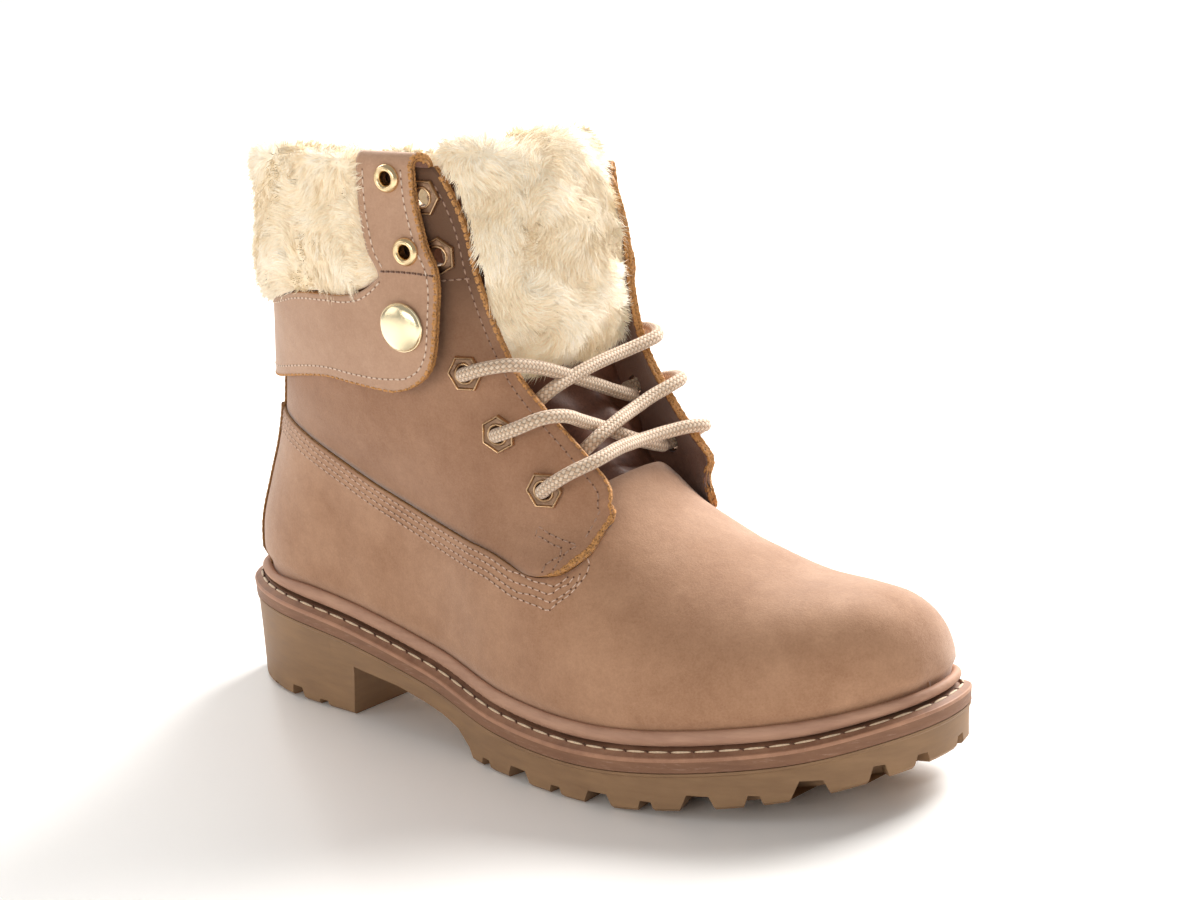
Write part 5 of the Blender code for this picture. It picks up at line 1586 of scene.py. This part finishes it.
def make_lace():
    """Round braided lace, one length through all the eyelets it uses."""
    route = lace_route()
    path = through(route, int(length_along(route)[-1] / LACE_STEP))
    for _ in range(4):
        path[1:-1] = 0.25 * path[:-2] + 0.5 * path[1:-1] + 0.25 * path[2:]
    ahead = heading(path)
    side = np.cross(ahead[0], (0, 0, 1.0))
    sides = []
    for direction in ahead:
        side = side - direction * np.dot(side, direction)
        side = side / np.linalg.norm(side)
        sides.append(side)
    sides = np.array(sides)
    ups = np.cross(ahead, sides)
    turn = np.arange(LACE_SIDES + 1) / LACE_SIDES
    angle = turn % 1 * 2 * math.pi
    rings = path[:, None] + LACE / 2 * (np.cos(angle)[:, None] * sides[:, None]
                                        + np.sin(angle)[:, None] * ups[:, None])
    bm = skin(rings, wrap=np.stack(np.meshgrid(turn, length_along(path)), -1))
    close_ends(bm)
    finish_piece("lace_braided", bm, [CORD],
                 ["lace_top_over", "lace_middle_over", "lace_bottom_bar"], smooth=70)


# ---- sewing

def beside(flat, distance):
    """Line at a distance to the right of one drawn in the side view."""
    ahead = heading(flat)
    return flat + distance * np.stack([ahead[:, 1], -ahead[:, 0]], -1)


def on_wall(flat, side, half, lift, count=300):
    """Places and normals along a line drawn in the side view."""
    x, z = through(flat, count).T
    return wall(x, z, side, half, lift(x, z) if callable(lift) else lift)


SEAM_PITCH = 2.7
STITCH_PITCH = 2.6
JOINT_PITCH = 2.0
FLAP_SEAM_INSET = 3.3
SEAM_ROWS = (1.7, 3.7, 6.0, 8.1)
ROW_TURNS = (              # where each row turns up in front of the flap's corner
    [(123.1, 65.2), (128.4, 63.9), (133.3, 63.5), (136.1, 63.2), (138.3, 64.5), (139.6, 65.9)],
    [(126, 62.1), (131.2, 61.3), (134.9, 60.8), (138.1, 62.8), (140.2, 64), (141.3, 65.9)],
    [(128.3, 59.7), (132.3, 59.1), (135.7, 58.6), (138.8, 60.3), (141.3, 62.4), (142.7, 64.6),
     (142.7, 66.7)],
    [(125.3, 57.5), (131.1, 56.8), (135.4, 56.2), (138.8, 58.9), (141.7, 61.3), (143.3, 63.8),
     (144.4, 66.6), (144, 69.2), (142.6, 71)],
)
TACK = [(138.6, 73.5), (136, 74.3), (129.7, 76.6), (125.2, 78.3), (125.3, 76.4), (127.6, 75.4),
        (131.5, 73.7), (135.1, 72.1), (135.4, 70.5), (134, 69.5), (132.2, 67.9), (131.9, 66.4)]
CORNER_LINE = [(138.9, 73.4), (137.4, 72.2), (136.1, 69.5), (135.2, 67.1)]
CROSS_LINE = [(96, 154.6), (106.0, 155.6)]


def flap_seam(low, high):
    """Sewing line inside the flap's front edge, between two heights."""
    return beside(upright(FLAP_EDGE, "x", low, high)(np.linspace(0, 1, 160)), -FLAP_SEAM_INSET)


def make_sewing():
    """Seam rows, and the lines on the flaps, the shaft and the cuff."""
    for side, word in SIDES.items():
        rows = []
        for distance, turn_up in zip(SEAM_ROWS, ROW_TURNS):
            line = beside(seam_line(np.linspace(0.004, 0.795, 240)), distance)
            line = line[line[:, 0] < turn_up[0][0] - 6]
            rows.append(on_wall(np.concatenate((line, turn_up)), side, lower_half, LOWER_LAP + 0.05))
        stitches(f"seam_stitches_{word}", rows, SEAM_PITCH, 0.5, [THREAD, HOLE])
        for name, wide, lines in (
                ("flap", 0.55, ((flap_seam(75, 152), 200), (TACK, 90), (CORNER_LINE, 30))),
                ("shaft", 0.6, ((flap_seam(152, 186), 60), (CROSS_LINE, 20)))):
            rows = [on_wall(flat, side, upper_half, shaft_outer, count) for flat, count in lines]
            stitches(f"{name}_stitches_{word}", rows, STITCH_PITCH, wide, [MUTED_THREAD, HOLE])
        make_cuff_sewing(side, word)


def cuff_line(turns, rows, side, count):
    """Places and normals on the cuff's face through its own columns and rows."""
    path = through(np.stack([turns, rows], -1), count)
    face = cuff_face(path[:, 0], path[:, 1], side)
    return face[:, :3] + face[:, 3:6] * (face[:, 6:] + 0.05), face[:, 3:6]


JOINT = [(78.2, 157.6), (83, 157.9), (90, 157.9), (97, 157.3)]


def make_cuff_sewing(side, word):
    """Lines along the cuff's border, behind its strip and under the fur, and the strip's joint."""
    bottom = cuff_line([0.0, 0.5, 1.0, 1.35, 1.62, 1.78, 1.85, 1.86, 1.86, 1.83],
                       [0.13, 0.12, 0.11, 0.115, 0.135, 0.2, 0.32, 0.6, 1.0, 1.98], side, 400)
    rear = cuff_line([1.13, 1.13, 1.13], [1.04, 1.5, 1.98], side, 120)
    band = cuff_line([0.0, 0.5, 0.82, 0.93, 1.0], [0.95, 0.94, 0.93, 0.93, 0.95], side, 200)
    stitches(f"cuff_stitches_{word}", [bottom, rear, band], STITCH_PITCH, 0.55, [PALE_THREAD, SOFT_HOLE])
    joint = on_wall(JOINT, side, upper_half, lambda x, z: cuff_lift(x, z) + 0.05, 60)
    stitches(f"cuff_joint_{word}", [joint], JOINT_PITCH, 0.7, [DARK_THREAD, HOLE], fill=0.66)


# ---- stage

CAMERA_PLACE = (807.68, -771.42, 382.36)
CAMERA_BACK = (0.63943335, -0.72044047, 0.26849678)
CAMERA_ROLL = -3.6
LENS = 102.62
LIGHT_AIM = (0.1, 0, 0.08)
FLOOR_SIZE = 6.0
FLOOR_PLACE = (0.1, 0, -0.0002)
WORLD_LIGHT = 0.38


def make_camera():
    camera = put("camera", adjust(bpy.data.cameras.new("camera"), lens=LENS, sensor_width=36, clip_end=50))
    turn = Vector(CAMERA_BACK).to_track_quat("Z", "Y").to_matrix().to_4x4()
    camera.matrix_world = (Matrix.Translation(Vector(CAMERA_PLACE) * MM) @ turn
                           @ Matrix.Rotation(math.radians(CAMERA_ROLL), 4, "Z"))
    bpy.context.scene.camera = camera


def soft_light(name, place, size, power, colour):
    """Area light in metres and watts, turned to the boot."""
    data = adjust(bpy.data.lights.new(name, "AREA"), shape="RECTANGLE", energy=power, color=colour)
    data.size, data.size_y = size
    light = put(name, data)
    light.location = place
    light.rotation_euler = (Vector(place) - Vector(LIGHT_AIM)).to_track_quat("Z", "Y").to_euler()


def make_stage():
    """Pale floor, an even surround and four soft lights."""
    f = Finish("floor_paper", Roughness=0.35, Specular_IOR_Level=0.35)
    f.set(Base_Color=f.mix(f.noise(f.place(), 300, 1), (0.965, 0.955, 0.94), (0.985, 0.975, 0.96)))
    bm = bmesh.new()
    bmesh.ops.create_grid(bm, x_segments=8, y_segments=8, size=FLOOR_SIZE)
    floor = put("floor", mesh_of("floor", bm))
    floor.data.materials.append(f.material)
    floor.location = FLOOR_PLACE
    world = bpy.data.worlds.new("studio")
    world.use_nodes = True
    background = world.node_tree.nodes["Background"].inputs
    background["Color"].default_value = (1.0, 0.98, 0.96, 1)
    background["Strength"].default_value = WORLD_LIGHT
    bpy.context.scene.world = world
    soft_light("key", (0.12, 1.35, 1.1), (1.0, 1.0), 70, (1.0, 0.985, 0.96))
    soft_light("back", (-1.4, 0.5, 1.0), (1.2, 1.2), 16, (1.0, 0.99, 0.97))
    soft_light("fill", (-1.5, -1.5, 0.8), (1.4, 1.2), 6, (1.0, 0.97, 0.94))
    soft_light("front", (0.4, -1.9, 0.6), (1.6, 0.6), 12.2, (1.0, 0.96, 0.9))
    bpy.context.scene.view_settings.view_transform = "Standard"


# ---- the boot

def dress_insole():
    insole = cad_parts["insole"]
    insole.data.materials.clear()
    insole.data.materials.append(INSOLE)


make_camera()
make_lace()
make_lower_panel()
make_shaft()
make_back_seam()
make_tongue()
make_tongue_fur()
make_cuff()
make_raw_edges()
make_cuff_fur()
make_outsole()
make_midsole()
make_rand()
make_welt_stitches()
dress_insole()
make_eyelets()
make_sewing()
make_stage()
